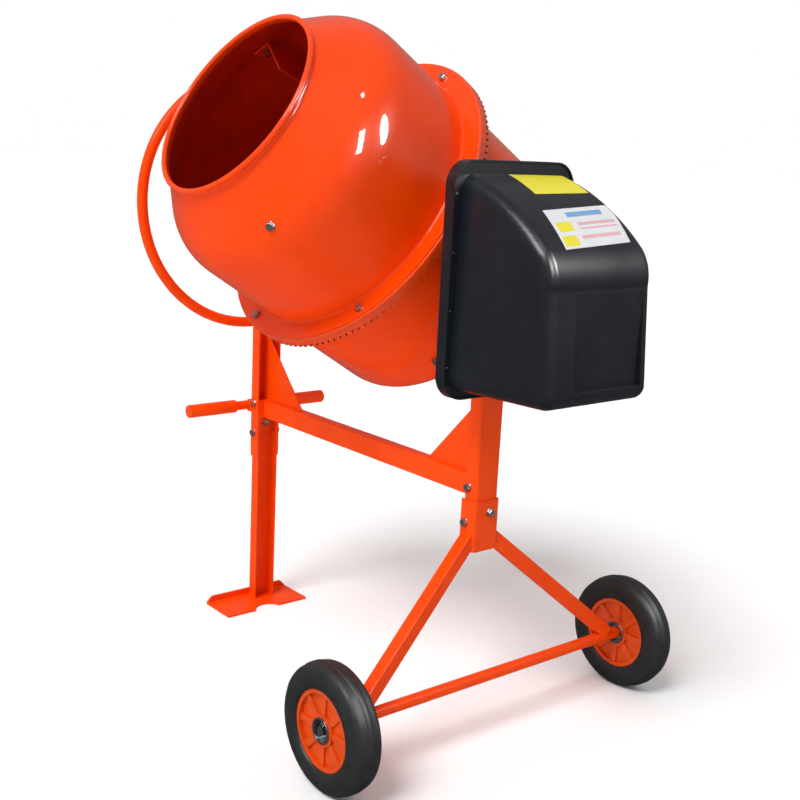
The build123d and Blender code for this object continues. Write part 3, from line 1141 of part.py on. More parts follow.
def cover_body(inset):
    """Cover's outer form, or the hollow inside it when inset is the wall."""
    edge = COVER_EDGE - inset
    start = LIP_X - (1 if inset else 0)
    with BuildPart(mode=Mode.PRIVATE) as form:
        with BuildSketch(Plane.XZ):
            with BuildLine():
                face_top = (COVER_FACE_X - COVER_LEAN - inset, COVER_FACE_TOP)
                brow = (COVER_FACE_X - COVER_BROW[0] - 0.9 * inset, COVER_BROW[1] - 0.5 * inset)
                bend = (COVER_FACE_X - COVER_BEND[0] - 0.7 * inset, COVER_BEND[1] - 0.7 * inset)
                crest = (COVER_FACE_X - COVER_CREST[0] - 0.4 * inset, COVER_CREST[1] - 0.9 * inset)
                Polyline((start, COVER_TOP - inset), (start, COVER_BOTTOM + inset),
                         (COVER_FACE_X - inset, COVER_BOTTOM + 4 + inset), face_top)
                ThreePointArc(face_top, brow, bend)
                ThreePointArc(bend, crest, (start, COVER_TOP - inset))
            make_face()
        extrude(amount=COVER_HALF - inset, both=True)
        with BuildSketch(Plane.XY):
            with BuildLine():
                Polyline((start, inset - COVER_HALF), (COVER_FACE_X + 1, COVER_FRONT[0] + inset),
                         (COVER_FACE_X + 1, COVER_FRONT[1] - inset), (start, COVER_HALF - inset), close=True)
            make_face()
        extrude(amount=COVER_TOP + 1, mode=Mode.INTERSECT)
        with BuildSketch(Plane.YZ):
            with BuildLine():
                Polyline((inset - COVER_HALF, COVER_BOTTOM), (inset + COVER_CROWN[0], COVER_TOP),
                         (COVER_CROWN[1] - inset, COVER_TOP), (COVER_HALF - inset, COVER_BOTTOM), close=True)
            make_face()
        extrude(amount=COVER_FACE_X + 1, mode=Mode.INTERSECT)
        fillet(form.edges().filter_by(lambda e: e.center().X > start + 1), edge)
    return form.part


def face_x(level):
    """X of the cover's flat outer face at this height."""
    share = (level - COVER_BOTTOM) / (COVER_FACE_TOP - COVER_BOTTOM)
    return COVER_FACE_X - COVER_LEAN * share


def recess_body(wall):
    """Wedge cut into the outer face, or the thicker pad behind it when wall is not 0."""
    low, high = RECESS[2] - wall, RECESS[3] + wall
    with BuildPart(mode=Mode.PRIVATE) as wedge:
        with BuildSketch(Plane.XZ.offset(-RECESS[1] - wall)):
            with BuildLine():
                Polyline((face_x(low) - RECESS_DEPTH - wall, low), (COVER_FACE_X + 5, low),
                         (COVER_FACE_X + 5, high), (face_x(high) - wall, high), close=True)
            make_face()
        extrude(amount=RECESS[1] - RECESS[0] + 2 * wall)
    return wedge.part


SWITCH_BOX = Vector(SWITCH_SIZE[0], SWITCH_FRONT - SWITCH_BACK, SWITCH_SIZE[1])
SWITCH_PLACE = (SWITCH_X, (SWITCH_FRONT + SWITCH_BACK) / 2, SWITCH_LEVEL)
INLET_PLANE = Plane((SWITCH_X, SWITCH_FRONT, INLET_LEVEL), z_dir=(0, -1, 0))

with BuildPart() as motor_cover:
    add(cover_body(0))
    with BuildSketch(across_x(LIP_X, 0, PLATE_MIDDLE)):
        RectangleRounded(2 * LIP_HALF, PLATE_HEIGHT - 2 * PLATE_WALL - 1, PLATE_CORNER - PLATE_WALL - 0.5)
    extrude(amount=COVER_LIP)
    add(cover_body(COVER_WALL), mode=Mode.SUBTRACT)
    add(recess_body(COVER_WALL).intersect(cover_body(0)))
    add(recess_body(0), mode=Mode.SUBTRACT)
    with Locations(SWITCH_PLACE):
        Box(*SWITCH_BOX, mode=Mode.SUBTRACT)
    rod(INLET_PLANE, INLET_RADIUS, SWITCH_FRONT - SWITCH_BACK, Mode.SUBTRACT)
    for y, z in SCREWS:
        rod(across_x(LIP_X, y, z), SCREW_RADIUS + 0.1, COVER_LIP, Mode.SUBTRACT)
motor_cover.part.label = "motor_cover"

with BuildPart() as cover_screws:
    for y, z in SCREWS:
        rod(across_x(LIP_X + COVER_LIP, y, z), SCREW_HEAD_RADIUS, SCREW_HEAD)
        rod(across_x(LIP_X - LEDGE_DEPTH + 2, y, z), SCREW_RADIUS, LEDGE_DEPTH + COVER_LIP - 2)
cover_screws.part.label = "cover_screws"

# ================================================================== switch and inlet
BUTTON_PLACES = (("start_button", BUTTON_SPACING / 2), ("stop_button", -BUTTON_SPACING / 2))


def button_plane(offset, y):
    """Plane of a push button facing out of the housing's side."""
    return Plane((SWITCH_X, y, SWITCH_LEVEL + offset), z_dir=(0, 1, 0))


with BuildPart() as switch_body:
    with Locations(SWITCH_PLACE):
        Box(*SWITCH_BOX)
    fillet(switch_body.edges().filter_by(Axis.Y), 5)
    for _, offset in BUTTON_PLACES:
        rod(button_plane(offset, SWITCH_BACK + 12), BUTTON_RADIUS + BUTTON_PLAY, SWITCH_BOX.Y, Mode.SUBTRACT)
switch_body.part.label = "switch_body"

BUTTONS = []
for button_name, offset in BUTTON_PLACES:
    with BuildPart() as button:
        rod(button_plane(offset, SWITCH_BACK + 12 + BUTTON_TRAVEL + BUTTON_PLAY), BUTTON_RADIUS,
            SWITCH_FRONT + BUTTON_PROUD - SWITCH_BACK - 12 - BUTTON_TRAVEL - BUTTON_PLAY)
        fillet(button.edges().filter_by(GeomType.CIRCLE).group_by(Axis.Y)[-1], 2)
    button.part.label = button_name
    BUTTONS.append(button.part)

with BuildPart() as power_inlet:
    rod(INLET_PLANE, INLET_RADIUS, SWITCH_FRONT - SWITCH_BACK)
    rod(INLET_PLANE, INLET_BORE, INLET_DEPTH, Mode.SUBTRACT)
    with BuildSketch(shifted(INLET_PLANE, INLET_DEPTH)):
        with PolarLocations(INLET_PIN_CIRCLE, 3):
            Circle(INLET_PIN_RADIUS)
    extrude(amount=-INLET_DEPTH * 0.7)
power_inlet.part.label = "power_inlet"

# ================================================================== writing the pieces
PIECES = [
    foot_plate.part, left_post.part, left_head_bracket.part, left_gusset.part, crossbar.part,
    crossbar_shoes.part, right_gusset.part, right_head_bracket.part, wheel_post.part, *STRUTS,
    axle_tube.part, stub_axles.part, axle_washers.part, split_pins.part, *WHEEL_PIECES,
    handle_bar.part, handle_saddles.part, handle_grips.part, frame_bolts.part,
    bearing_tubes.part, trunnion_bushes.part, lock_housing.part, lock_pin.part, lock_disc.part,
    yoke.part, left_trunnion.part, right_trunnion.part, pinion_bearings.part, spindle_housing.part,
    spindle_bearings.part, handwheel_ring.part, handwheel_hub.part, handwheel_bar.part,
    drum_upper.part, drum_lower.part, ring_gear.part, mixing_blades.part,
    spindle.part, drum_fasteners.part,
    pinion.part, pinion_shaft.part, large_pulley.part, belt.part, motor_pulley.part, motor_rotor.part,
    motor_bracket.part, motor_body.part, capacitor.part, back_plate.part, motor_cover.part,
    cover_screws.part, switch_body.part, *BUTTONS, power_inlet.part,
]

boxes = [piece.bounding_box() for piece in PIECES]
lowest = Vector(*(min(tuple(box.min)[k] for box in boxes) for k in range(3)))
highest = Vector(max(box.max.X for box in boxes), max(box.max.Y for box in boxes), 0)
BASE = Vector(-(lowest.X + highest.X) / 2, -(lowest.Y + highest.Y) / 2, -lowest.Z)

os.makedirs("parts", exist_ok=True)
for piece in PIECES:
    export_step(piece.moved(Location(BASE)), f"parts/{piece.label}.step")
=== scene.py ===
"""Dressed model of a tilting-drum concrete mixer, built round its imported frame."""
import json
import logging
import math
from dataclasses import dataclass, field
from enum import Enum
from typing import Callable, Iterable, Sequence

import bmesh
import bpy
from mathutils import Matrix, Vector
from mathutils.bvhtree import BVHTree


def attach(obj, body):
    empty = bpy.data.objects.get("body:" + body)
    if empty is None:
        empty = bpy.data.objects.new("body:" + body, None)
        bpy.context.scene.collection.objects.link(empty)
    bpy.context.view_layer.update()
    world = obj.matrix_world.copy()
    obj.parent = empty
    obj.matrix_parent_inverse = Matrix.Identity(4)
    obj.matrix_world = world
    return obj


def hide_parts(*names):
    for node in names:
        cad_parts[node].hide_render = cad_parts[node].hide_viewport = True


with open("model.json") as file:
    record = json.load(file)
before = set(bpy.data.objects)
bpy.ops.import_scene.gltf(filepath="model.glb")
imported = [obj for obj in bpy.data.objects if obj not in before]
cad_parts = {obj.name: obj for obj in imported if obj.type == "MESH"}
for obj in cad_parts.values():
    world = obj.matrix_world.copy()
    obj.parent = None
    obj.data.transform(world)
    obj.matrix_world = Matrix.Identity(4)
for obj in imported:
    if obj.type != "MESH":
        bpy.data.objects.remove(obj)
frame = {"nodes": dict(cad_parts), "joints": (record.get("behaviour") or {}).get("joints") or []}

logging.basicConfig(level=logging.INFO, format="%(message)s")
log = logging.getLogger("mixer")

MM = 0.001
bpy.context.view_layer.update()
Profile = list[tuple[float, float]]
TILT = next(joint for joint in frame["joints"] if joint["name"] == "tilt")
TILT_HEIGHT = 893.0
ORIGIN = Vector(TILT["pos_m"]) - Vector((0.0, 0.0, TILT_HEIGHT * MM))
SLOPE = math.radians(32.0)
DRUM_WAY = Vector((0.0, -math.cos(SLOPE), math.sin(SLOPE)))


class Slot(Enum):
    """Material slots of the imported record."""

    ORANGE = "orange_paint"
    RIM = "rim_paint"
    TYRE = "tyre_rubber"
    ZINC = "zinc_plate"
    STEEL = "bare_steel"
    BRONZE = "bush_bronze"
    IRON = "cast_iron"
    HOUSING = "housing_black"
    PLASTIC = "black_plastic"
    BELT = "belt_rubber"
    ALLOY = "motor_alloy"
    GREEN = "button_green"
    RED = "button_red"


class Texture(Enum):
    """How a finish's colour varies over the surface."""

    CLOUD = "cloud"
    SPANGLE = "spangle"
    TURNED_X = "turned_x"
    TURNED_Y = "turned_y"


def linear(code: str) -> tuple[float, float, float, float]:
    """Turn an sRGB hex colour into linear RGBA.

    Args:
        code: Six hex digits after a hash sign.

    Returns:
        Linear red, green and blue, with an alpha of one.
    """
    parts = [int(code[i:i + 2], 16) / 255 for i in (1, 3, 5)]
    red, green, blue = (c / 12.92 if c <= 0.04045 else ((c + 0.055) / 1.055) ** 2.4 for c in parts)
    return (red, green, blue, 1.0)


def add_node(tree: bpy.types.NodeTree, kind: str, inputs: dict | None = None,
             **settings: object) -> bpy.types.Node:
    """Add a node with its settings, and link or set its inputs.

    Args:
        tree: The node tree that gets the node.
        kind: Blender's name for the node type.
        inputs: Input name or number to a value, or to the socket that feeds it.
        settings: The node's own properties.

    Returns:
        The new node.
    """
    node = tree.nodes.new(kind)
    for key, value in settings.items():
        setattr(node, key, value)
    for key, value in (inputs or {}).items():
        if isinstance(value, bpy.types.NodeSocket):
            tree.links.new(value, node.inputs[key])
        else:
            node.inputs[key].default_value = value
    return node


# ---------------------------------------------------------------- finishes
@dataclass(frozen=True)
class Finish:
    """A surface finish, with its sizes in millimetres."""

    name: str
    slot: Slot
    colour: str
    second: str
    patch: float
    grain: float
    relief: float
    rough: tuple[float, float]
    metallic: float = 0.0
    ior: float = 1.5
    coat: float = 0.0
    coat_rough: float = 0.06
    texture: Texture = Texture.CLOUD

    def material(self) -> bpy.types.Material:
        """Return the finish's material, made on first use."""
        made = bpy.data.materials.get(self.name)
        if made:
            return made
        made = bpy.data.materials.new(self.name)
        made.use_nodes = True
        made.diffuse_color = linear(self.colour)
        tree = made.node_tree
        tree.nodes.clear()
        place = add_node(tree, "ShaderNodeTexCoord").outputs["Object"]
        colour = add_node(tree, "ShaderNodeMix", {0: self._pattern(tree, place), 6: linear(self.colour),
                                                  7: linear(self.second)}, data_type="RGBA").outputs[2]
        grain = add_node(tree, "ShaderNodeTexNoise",
                         {"Vector": place, "Scale": 1 / (self.grain * MM), "Detail": 2.0, "Roughness": 0.5})
        haze = add_node(tree, "ShaderNodeTexNoise",
                        {"Vector": place, "Scale": 1 / (2.5 * self.patch * MM), "Detail": 3.0})
        rough = add_node(tree, "ShaderNodeMapRange",
                         {"Value": haze.outputs["Fac"], "From Min": 0.3, "From Max": 0.7,
                          "To Min": self.rough[0], "To Max": self.rough[1]})
        bump = add_node(tree, "ShaderNodeBump",
                        {"Height": grain.outputs["Fac"], "Distance": self.relief * MM, "Strength": 1.0})
        shader = add_node(tree, "ShaderNodeBsdfPrincipled",
                          {"Base Color": colour, "Roughness": rough.outputs["Result"],
                           "Metallic": self.metallic, "IOR": self.ior, "Coat Weight": self.coat,
                           "Coat Roughness": self.coat_rough, "Normal": bump.outputs["Normal"]})
        add_node(tree, "ShaderNodeOutputMaterial", {"Surface": shader.outputs["BSDF"]})
        return made

    def _pattern(self, tree: bpy.types.NodeTree, place: bpy.types.NodeSocket) -> bpy.types.NodeSocket:
        """Make the share of the second colour over the surface.

        Args:
            tree: The material's node tree.
            place: Object coordinates.

        Returns:
            A socket from 0, the first colour, to 1, the second.
        """
        if self.texture is Texture.SPANGLE:
            cells = add_node(tree, "ShaderNodeTexVoronoi", {"Vector": place, "Scale": 1 / (self.patch * MM)})
            return add_node(tree, "ShaderNodeSeparateColor", {"Color": cells.outputs["Color"]}).outputs["Red"]
        if self.texture in (Texture.TURNED_X, Texture.TURNED_Y):
            axis = "X" if self.texture is Texture.TURNED_X else "Y"
            return add_node(tree, "ShaderNodeTexWave",
                            {"Vector": place, "Scale": 0.32 / (self.patch * MM), "Distortion": 1.5,
                             "Detail": 1.0}, wave_type="BANDS", bands_direction=axis).outputs["Fac"]
        cloud = add_node(tree, "ShaderNodeTexNoise",
                         {"Vector": place, "Scale": 1 / (self.patch * MM), "Detail": 4.0, "Roughness": 0.6})
        return add_node(tree, "ShaderNodeMapRange",
                        {"Value": cloud.outputs["Fac"], "From Min": 0.35, "From Max": 0.7}).outputs["Result"]


# Oven-baked gloss powder coat on steel: one clear orange, with the slight orange peel of the melted powder.
ORANGE = Finish("gloss_orange_powder_coat", Slot.ORANGE, "#F94B00", "#F04400", 60, 2.2, 0.02, (0.34, 0.42),
                ior=1.2, coat=0.15, coat_rough=0.1)
# The same coat on the drum, where the larger panels are drawn smoother.
DRUM_ORANGE = Finish("gloss_orange_drum_coat", Slot.ORANGE, "#FB4800", "#F64200", 90, 3.0, 0.01, (0.3, 0.38),
                     ior=1.2, coat=0.6, coat_rough=0.03)
# The drum's inside faces in a darker, redder coat: painted shade for the dim inside of the drum; dull, without the
# clear gloss.
SHADED_LINING = Finish("thin_red_drum_lining", Slot.ORANGE, "#D82A00", "#C42400", 45, 1.6, 0.03, (0.5, 0.6),
                ior=1.25)
# The blades in a darker, redder coat than the outside: painted shade for the dim inside of the drum, a little
# brighter than the lining.
SHADED_BLADE = Finish("dipped_orange_blade_coat", Slot.ORANGE, "#F03A02", "#DC3202", 30, 1.4, 0.03, (0.4, 0.5),
               ior=1.3)
# Sprayed acrylic on the pressed rims: duller and a little browner than the frame's coat.
RIM_ORANGE = Finish("satin_orange_rim_paint", Slot.RIM, "#D84A06", "#CC4204", 25, 0.9, 0.03, (0.42, 0.5),
                    ior=1.35)
# Solid moulded rubber with carbon black: dark grey, matt, with a fine mould skin and grey bloom.
TYRE = Finish("moulded_tyre_rubber", Slot.TYRE, "#1E2021", "#27292A", 14, 0.7, 0.05, (0.42, 0.55), ior=1.5)
# Bright zinc plating with clear passivation: pale grey with crystals that catch the light one by one.
ZINC = Finish("bright_zinc_plating", Slot.ZINC, "#D3D6D8", "#A9ADB2", 1.4, 0.4, 0.01, (0.22, 0.36),
              metallic=1.0, texture=Texture.SPANGLE)
# Mild steel turned on a lathe, left bare and oiled: fine rings along its axis.
TURNED_X = Finish("turned_steel_shaft", Slot.STEEL, "#B4B6B8", "#95989B", 0.8, 0.3, 0.01, (0.2, 0.34),
                  metallic=1.0, texture=Texture.TURNED_X)
TURNED_Y = Finish("turned_steel_axle", Slot.STEEL, "#B4B6B8", "#8F9296", 0.8, 0.3, 0.01, (0.2, 0.34),
                  metallic=1.0, texture=Texture.TURNED_Y)
# Sintered bronze of the plain bushes: warm and dull, with the grain of the pressed powder.
BRONZE = Finish("sintered_bronze", Slot.BRONZE, "#B08D57", "#96743F", 2.0, 0.4, 0.02, (0.38, 0.5),
                metallic=1.0)
# Grey cast iron gear, painted with the drum: the sand-cast skin shows as a coarser relief under the coat.
CAST = Finish("coated_cast_iron", Slot.IRON, "#F04A08", "#E04204", 12, 1.4, 0.06, (0.3, 0.42), coat=0.2)
# Grey cast iron left bare inside the drive: dark, dull metal.
BARE_CAST = Finish("bare_cast_iron", Slot.IRON, "#5E6062", "#4A4C4E", 6, 0.8, 0.08, (0.5, 0.65),
                   metallic=0.85)
# Painted shade on the ring gear's tooth flanks and roots and on the bowl's band beside the teeth: a dark red standing
# in for the shade there.
GEAR_SHADE = Finish("greased_orange_coat", Slot.IRON, "#8C1A02", "#5E1204", 8, 1.0, 0.04, (0.3, 0.45), ior=1.3)
# Black-passivated pan-head screws: dark, half-bright metal.
BLACK_ZINC = Finish("black_zinc_plating", Slot.ZINC, "#3C3E42", "#54565A", 1.2, 0.4, 0.01, (0.35, 0.45),
                    metallic=1.0, texture=Texture.SPANGLE)
# Injection-moulded black polypropylene housing: charcoal, satin, with a fine spark-eroded mould texture.
HOUSING = Finish("moulded_housing_plastic", Slot.HOUSING, "#14171E", "#191D25", 40, 0.8, 0.02, (0.28, 0.34),
                 ior=1.49)
# Black polyamide of the switch and inlet: a little darker and glossier than the housing.
PLASTIC = Finish("moulded_black_polyamide", Slot.PLASTIC, "#18191B", "#202124", 15, 0.5, 0.02, (0.3, 0.4),
                 ior=1.53)
# Ribbed belt of black neoprene: matt, with a woven back.
BELT = Finish("neoprene_belt", Slot.BELT, "#1D1D1E", "#272728", 3, 0.6, 0.08, (0.7, 0.85))
# Die-cast aluminium motor shell, shot-blasted: pale, even and dull.
ALLOY = Finish("blasted_aluminium", Slot.ALLOY, "#B9BCC0", "#A3A6AA", 5, 0.5, 0.03, (0.42, 0.55),
               metallic=1.0)
# Glossy moulded push buttons in the usual green and red.
GREEN = Finish("green_button_plastic", Slot.GREEN, "#1E8A3C", "#1A7A35", 8, 0.5, 0.01, (0.25, 0.32))
RED = Finish("red_button_plastic", Slot.RED, "#C8201C", "#B51B18", 8, 0.5, 0.01, (0.25, 0.32))
# Printed vinyl stickers: a smooth, slightly glossy film in flat inks.
YELLOW_FILM = Finish("yellow_vinyl_film", Slot.HOUSING, "#F2E63C", "#EEE034", 30, 1.0, 0.004, (0.3, 0.38))
WHITE_FILM = Finish("white_vinyl_film", Slot.HOUSING, "#E9EAEC", "#E2E4E7", 30, 1.0, 0.004, (0.3, 0.38))
BLUE_INK = Finish("pale_blue_vinyl_ink", Slot.HOUSING, "#7FAEDC", "#74A4D4", 30, 1.0, 0.004, (0.3, 0.38))
RED_INK = Finish("pink_vinyl_ink", Slot.HOUSING, "#E8B8BC", "#E2AEB2", 30, 1.0, 0.004, (0.3, 0.38))


# ---------------------------------------------------------------- making meshes
def at(x: float, y: float, z: float) -> Vector:
    """Turn the machine's own millimetres into the row's metres."""
    return ORIGIN + Vector((x, y, z)) * MM


def axis_place(point: Vector, way: Vector, across: Vector = Vector((1, 0, 0))) -> Matrix:
    """Make the matrix that sets local millimetres, z along an axis, into the row.

    Args:
        point: The local origin, in metres.
        way: The direction of local z.
        across: A direction near local x.

    Returns:
        A matrix with the change from millimetres to metres in it.
    """
    z_way = way.normalized()
    x_way = (across - z_way * across.dot(z_way)).normalized()
    y_way = z_way.cross(x_way)
    turn = Matrix((x_way, y_way, z_way)).transposed().to_4x4()
    return Matrix.Translation(point) @ turn @ Matrix.Scale(MM, 4)


DRUM_PLACE = axis_place(ORIGIN + Vector((0, 0, TILT_HEIGHT * MM)), DRUM_WAY)


def new_object(name: str, mesh: bpy.types.Mesh) -> bpy.types.Object:
    """Link a mesh into the scene as an object at the origin."""
    made = bpy.data.objects.new(name, mesh)
    bpy.context.scene.collection.objects.link(made)
    return made


def mesh_object(name: str, build: bmesh.types.BMesh, crease: float = 35.0,
                outward: bool = True) -> bpy.types.Object:
    """Turn a BMesh in metres into an object with smooth faces and sharp creases.

    Args:
        name: The object's name.
        build: The mesh, which is freed.
        crease: Edges that turn more than this many degrees stay sharp.
        outward: Whether to turn all faces outwards.

    Returns:
        The new object.
    """
    if outward:
        bmesh.ops.recalc_face_normals(build, faces=build.faces)
    mesh = bpy.data.meshes.new(name)
    build.to_mesh(mesh)
    build.free()
    smooth(mesh, crease)
    return new_object(name, mesh)


def smooth(mesh: bpy.types.Mesh, crease: float) -> None:
    """Shade a mesh smooth, apart from its creases."""
    mesh.polygons.foreach_set("use_smooth", [True] * len(mesh.polygons))
    mesh.set_sharp_from_angle(angle=math.radians(crease))


def rounded(points: Profile, radii: dict[int, float], steps: int = 6) -> Profile:
    """Round some corners of an open line.

    Args:
        points: The line's corners.
        radii: Corner number to its radius.
        steps: Straight pieces in each rounded corner.

    Returns:
        The line with arcs in place of those corners.
    """
    line: Profile = []
    for number, corner in enumerate(points):
        if number not in radii:
            line.append(corner)
            continue
        here = Vector(corner)
        back = (Vector(points[number - 1]) - here).normalized()
        ahead = (Vector(points[(number + 1) % len(points)]) - here).normalized()
        half = back.angle(ahead) / 2
        centre = here + (back + ahead).normalized() * radii[number] / math.sin(half)
        start = here + back * radii[number] / math.tan(half) - centre
        end = here + ahead * radii[number] / math.tan(half) - centre
        sweep = start.angle_signed(end) * -1
        count = max(steps, int(abs(math.degrees(sweep)) / 4) if radii[number] > 30 else steps)
        for step in range(count + 1):
            turn = sweep * step / count
            line.append((centre.x + start.x * math.cos(turn) - start.y * math.sin(turn),
                         centre.y + start.x * math.sin(turn) + start.y * math.cos(turn)))
    return line


def revolve(name: str, profile: Profile, place: Matrix, steps: int = 96, sweep: float = 360.0,
            start: float = 0.0, crease: float = 35.0) -> bpy.types.Object:
    """Turn a closed outline of radius and level round local z.

    Args:
        name: The object's name.
        profile: Corners of the outline, in millimetres; a radius of 0 is on the axis.
        place: Where local millimetres stand in the row.
        steps: Faces round the turn.
        sweep: Degrees of the turn.
        start: Degrees from local x at which it starts.
        crease: Angle above which edges stay sharp.

    Returns:
        The new object.
    """
    build = bmesh.new()
    whole = abs(sweep - 360) < 1e-6
    rings = []
    for step in range(steps if whole else steps + 1):
        turn = math.radians(start + sweep * step / steps)
        rings.append([build.verts.new(place @ Vector((r * math.cos(turn), r * math.sin(turn), level)))
                      for r, level in profile])
    for step in range(steps):
        ring, after = rings[step], rings[(step + 1) % len(rings)]
        for k in range(len(profile)):
            n = (k + 1) % len(profile)
            build.faces.new((ring[k], after[k], after[n], ring[n]))
    if not whole:
        build.faces.new(rings[0])
        build.faces.new(rings[-1])
    bmesh.ops.remove_doubles(build, verts=build.verts, dist=1e-7)
    bmesh.ops.dissolve_degenerate(build, edges=build.edges, dist=1e-8)
    return mesh_object(name, build, crease)


def plain(made: bpy.types.Object) -> bpy.types.Object:
    """Turn an object's modifiers into its own mesh."""
    graph = bpy.context.evaluated_depsgraph_get()
    graph.update()
    mesh = bpy.data.meshes.new_from_object(made.evaluated_get(graph), preserve_all_data_layers=True,
                                           depsgraph=graph)
    made.modifiers.clear()
    made.data = mesh
    return made


def refined(name: str, *nodes: str, edge: float = 0.6,
            bend: Callable[[bmesh.types.BMEdge], float] | None = None,
            crease: float = 40.0) -> bpy.types.Object:
    """Copy CAD nodes into one piece with softened edges.

    Args:
        name: The piece's name.
        nodes: The CAD nodes it copies.
        edge: Width of the softened edges, in millimetres.
        bend: Gives the radius of a pressed bend on an edge, or 0.
        crease: Angle above which edges stay sharp.

    Returns:
        The new object.
    """
    build = bmesh.new()
    for node in nodes:
        build.from_mesh(frame["nodes"][node].data)
    bmesh.ops.remove_doubles(build, verts=build.verts, dist=2e-6)
    bmesh.ops.dissolve_limit(build, angle_limit=math.radians(0.4), verts=build.verts, edges=build.edges)
    if bend:
        radii = {}
        for each in build.edges:
            size = bend(each)
            if size:
                radii.setdefault(size, []).append(each)
        for size, edges in radii.items():
            bmesh.ops.bevel(build, geom=[e for e in edges if e.is_valid], offset=size * MM, segments=5,
                            profile=0.5, affect="EDGES", clamp_overlap=False)
    made = mesh_object(name, build, crease, outward=False)
    if edge:
        bevel = made.modifiers.new("soft edges", "BEVEL")
        bevel.width = edge * MM
        bevel.segments = 2
        bevel.limit_method = "ANGLE"
        bevel.angle_limit = math.radians(crease)
        bevel.use_clamp_overlap = True
        bevel.harden_normals = False
        weigh = made.modifiers.new("even faces", "WEIGHTED_NORMAL")
        weigh.keep_sharp = False
        plain(made)
    return made


# ---------------------------------------------------------------- geometry nodes
class Grower:
    """A Geometry Nodes tree that makes a repeated or path-following shape."""

    def __init__(self, name: str, inputs: dict[str, str]) -> None:
        """Start a tree with a geometry input and these named inputs.

        Args:
            name: The tree's name.
            inputs: Input name to its socket type.
        """
        self.tree = bpy.data.node_groups.new(name, "GeometryNodeTree")
        face = self.tree.interface
        face.new_socket("Geometry", in_out="INPUT", socket_type="NodeSocketGeometry")
        for label, kind in {**inputs, "Finish": "NodeSocketMaterial"}.items():
            face.new_socket(label, in_out="INPUT", socket_type=kind)
        face.new_socket("Geometry", in_out="OUTPUT", socket_type="NodeSocketGeometry")
        self.given = add_node(self.tree, "NodeGroupInput").outputs

    def add(self, kind: str, inputs: dict | None = None, output: int | str = 0,
            **settings: object) -> bpy.types.NodeSocket:
        """Add a node, as add_node does, and give one of its outputs."""
        return add_node(self.tree, kind, inputs, **settings).outputs[output]

    def close(self, shape: bpy.types.NodeSocket) -> None:
        """Realize the shape, give it its finish and end the tree."""
        real = self.add("GeometryNodeRealizeInstances", {"Geometry": shape})
        dressed = self.add("GeometryNodeSetMaterial", {"Geometry": real, "Material": self.given["Finish"]})
        add_node(self.tree, "NodeGroupOutput", {"Geometry": dressed})

    def grow(self, name: str, source: bpy.types.Object, finish: Finish, values: dict[str, object],
             place: Matrix | None = None, crease: float = 35.0) -> bpy.types.Object:
        """Run the tree on a source mesh and keep the result as a plain mesh.

        Args:
            name: The piece's name.
            source: The object the tree starts from, which becomes the piece.
            finish: The piece's finish.
            values: Input name to its value.
            place: Where the result stands, if not in the row already.
            crease: Angle above which edges stay sharp.

        Returns:
            The piece.
        """
        source.name = name
        run = source.modifiers.new(name, "NODES")
        run.node_group = self.tree
        for item in self.tree.interface.items_tree:
            if item.in_out == "INPUT" and item.name in {**values, "Finish": 0}:
                run[item.identifier] = {**values, "Finish": finish.material()}[item.name]
        plain(source)
        if place:
            source.data.transform(place)
        smooth(source.data, crease)
        return source


def fastener_grower() -> Grower:
    """Make the tree that sets a fastener on each point, turned by its aim."""
    grower = Grower("fasteners on points", {"Fastener": "NodeSocketObject", "Seed": "NodeSocketInt"})
    given, add = grower.given, grower.add
    shape = add("GeometryNodeObjectInfo", {"Object": given["Fastener"]}, "Geometry")
    stored = add("GeometryNodeInputNamedAttribute", {"Name": "aim"}, data_type="FLOAT_VECTOR")
    aim = add("FunctionNodeEulerToRotation", {"Euler": stored})
    spin = add("FunctionNodeRandomValue", {2: 0.0, 3: math.tau, "Seed": given["Seed"]}, 1, data_type="FLOAT")
    turn = add("FunctionNodeEulerToRotation", {"Euler": add("ShaderNodeCombineXYZ", {"Z": spin})})
    aimed = add("FunctionNodeRotateRotation", {"Rotation": aim, "Rotate By": turn}, rotation_space="LOCAL")
    points = add("GeometryNodeMeshToPoints", {"Mesh": given["Geometry"]})
    grower.close(add("GeometryNodeInstanceOnPoints",
                     {"Points": points, "Instance": shape, "Rotation": aimed}))
    return grower


def ring_grower() -> Grower:
    """Make the tree that sets one shape round a circle in local XY."""
    grower = Grower("shapes round a circle", {"Shape": "NodeSocketObject", "Count": "NodeSocketInt",
                                              "Radius": "NodeSocketFloat", "Offset": "NodeSocketFloat"})
    given, add = grower.given, grower.add
    shape = add("GeometryNodeObjectInfo", {"Object": given["Shape"]}, "Geometry")
    circle = add("GeometryNodeMeshCircle", {"Vertices": given["Count"], "Radius": given["Radius"]})
    step = add("ShaderNodeMath", {0: math.tau, 1: given["Count"]}, operation="DIVIDE")
    turn = add("ShaderNodeMath", {0: add("GeometryNodeInputIndex"), 1: step}, operation="MULTIPLY")
    spin = add("ShaderNodeCombineXYZ", {"Z": turn})
    laid = add("GeometryNodeInstanceOnPoints", {"Points": circle, "Instance": shape, "Rotation": spin})
    shift = add("ShaderNodeCombineXYZ", {"Z": given["Offset"]})
    grower.close(add("GeometryNodeTransform", {"Geometry": laid, "Rotation": shift}))
    return grower


def tube_grower() -> Grower:
    """Make the tree that draws a round tube along a line of edges."""
    grower = Grower("tube along a line", {"Radius": "NodeSocketFloat", "Sides": "NodeSocketInt"})
    given, add = grower.given, grower.add
    line = add("GeometryNodeMeshToCurve", {"Mesh": given["Geometry"]})
    section = add("GeometryNodeCurvePrimitiveCircle",
                  {"Resolution": given["Sides"], "Radius": given["Radius"]})
    grower.close(add("GeometryNodeCurveToMesh", {"Curve": line, "Profile Curve": section, "Fill Caps": True}))
    return grower


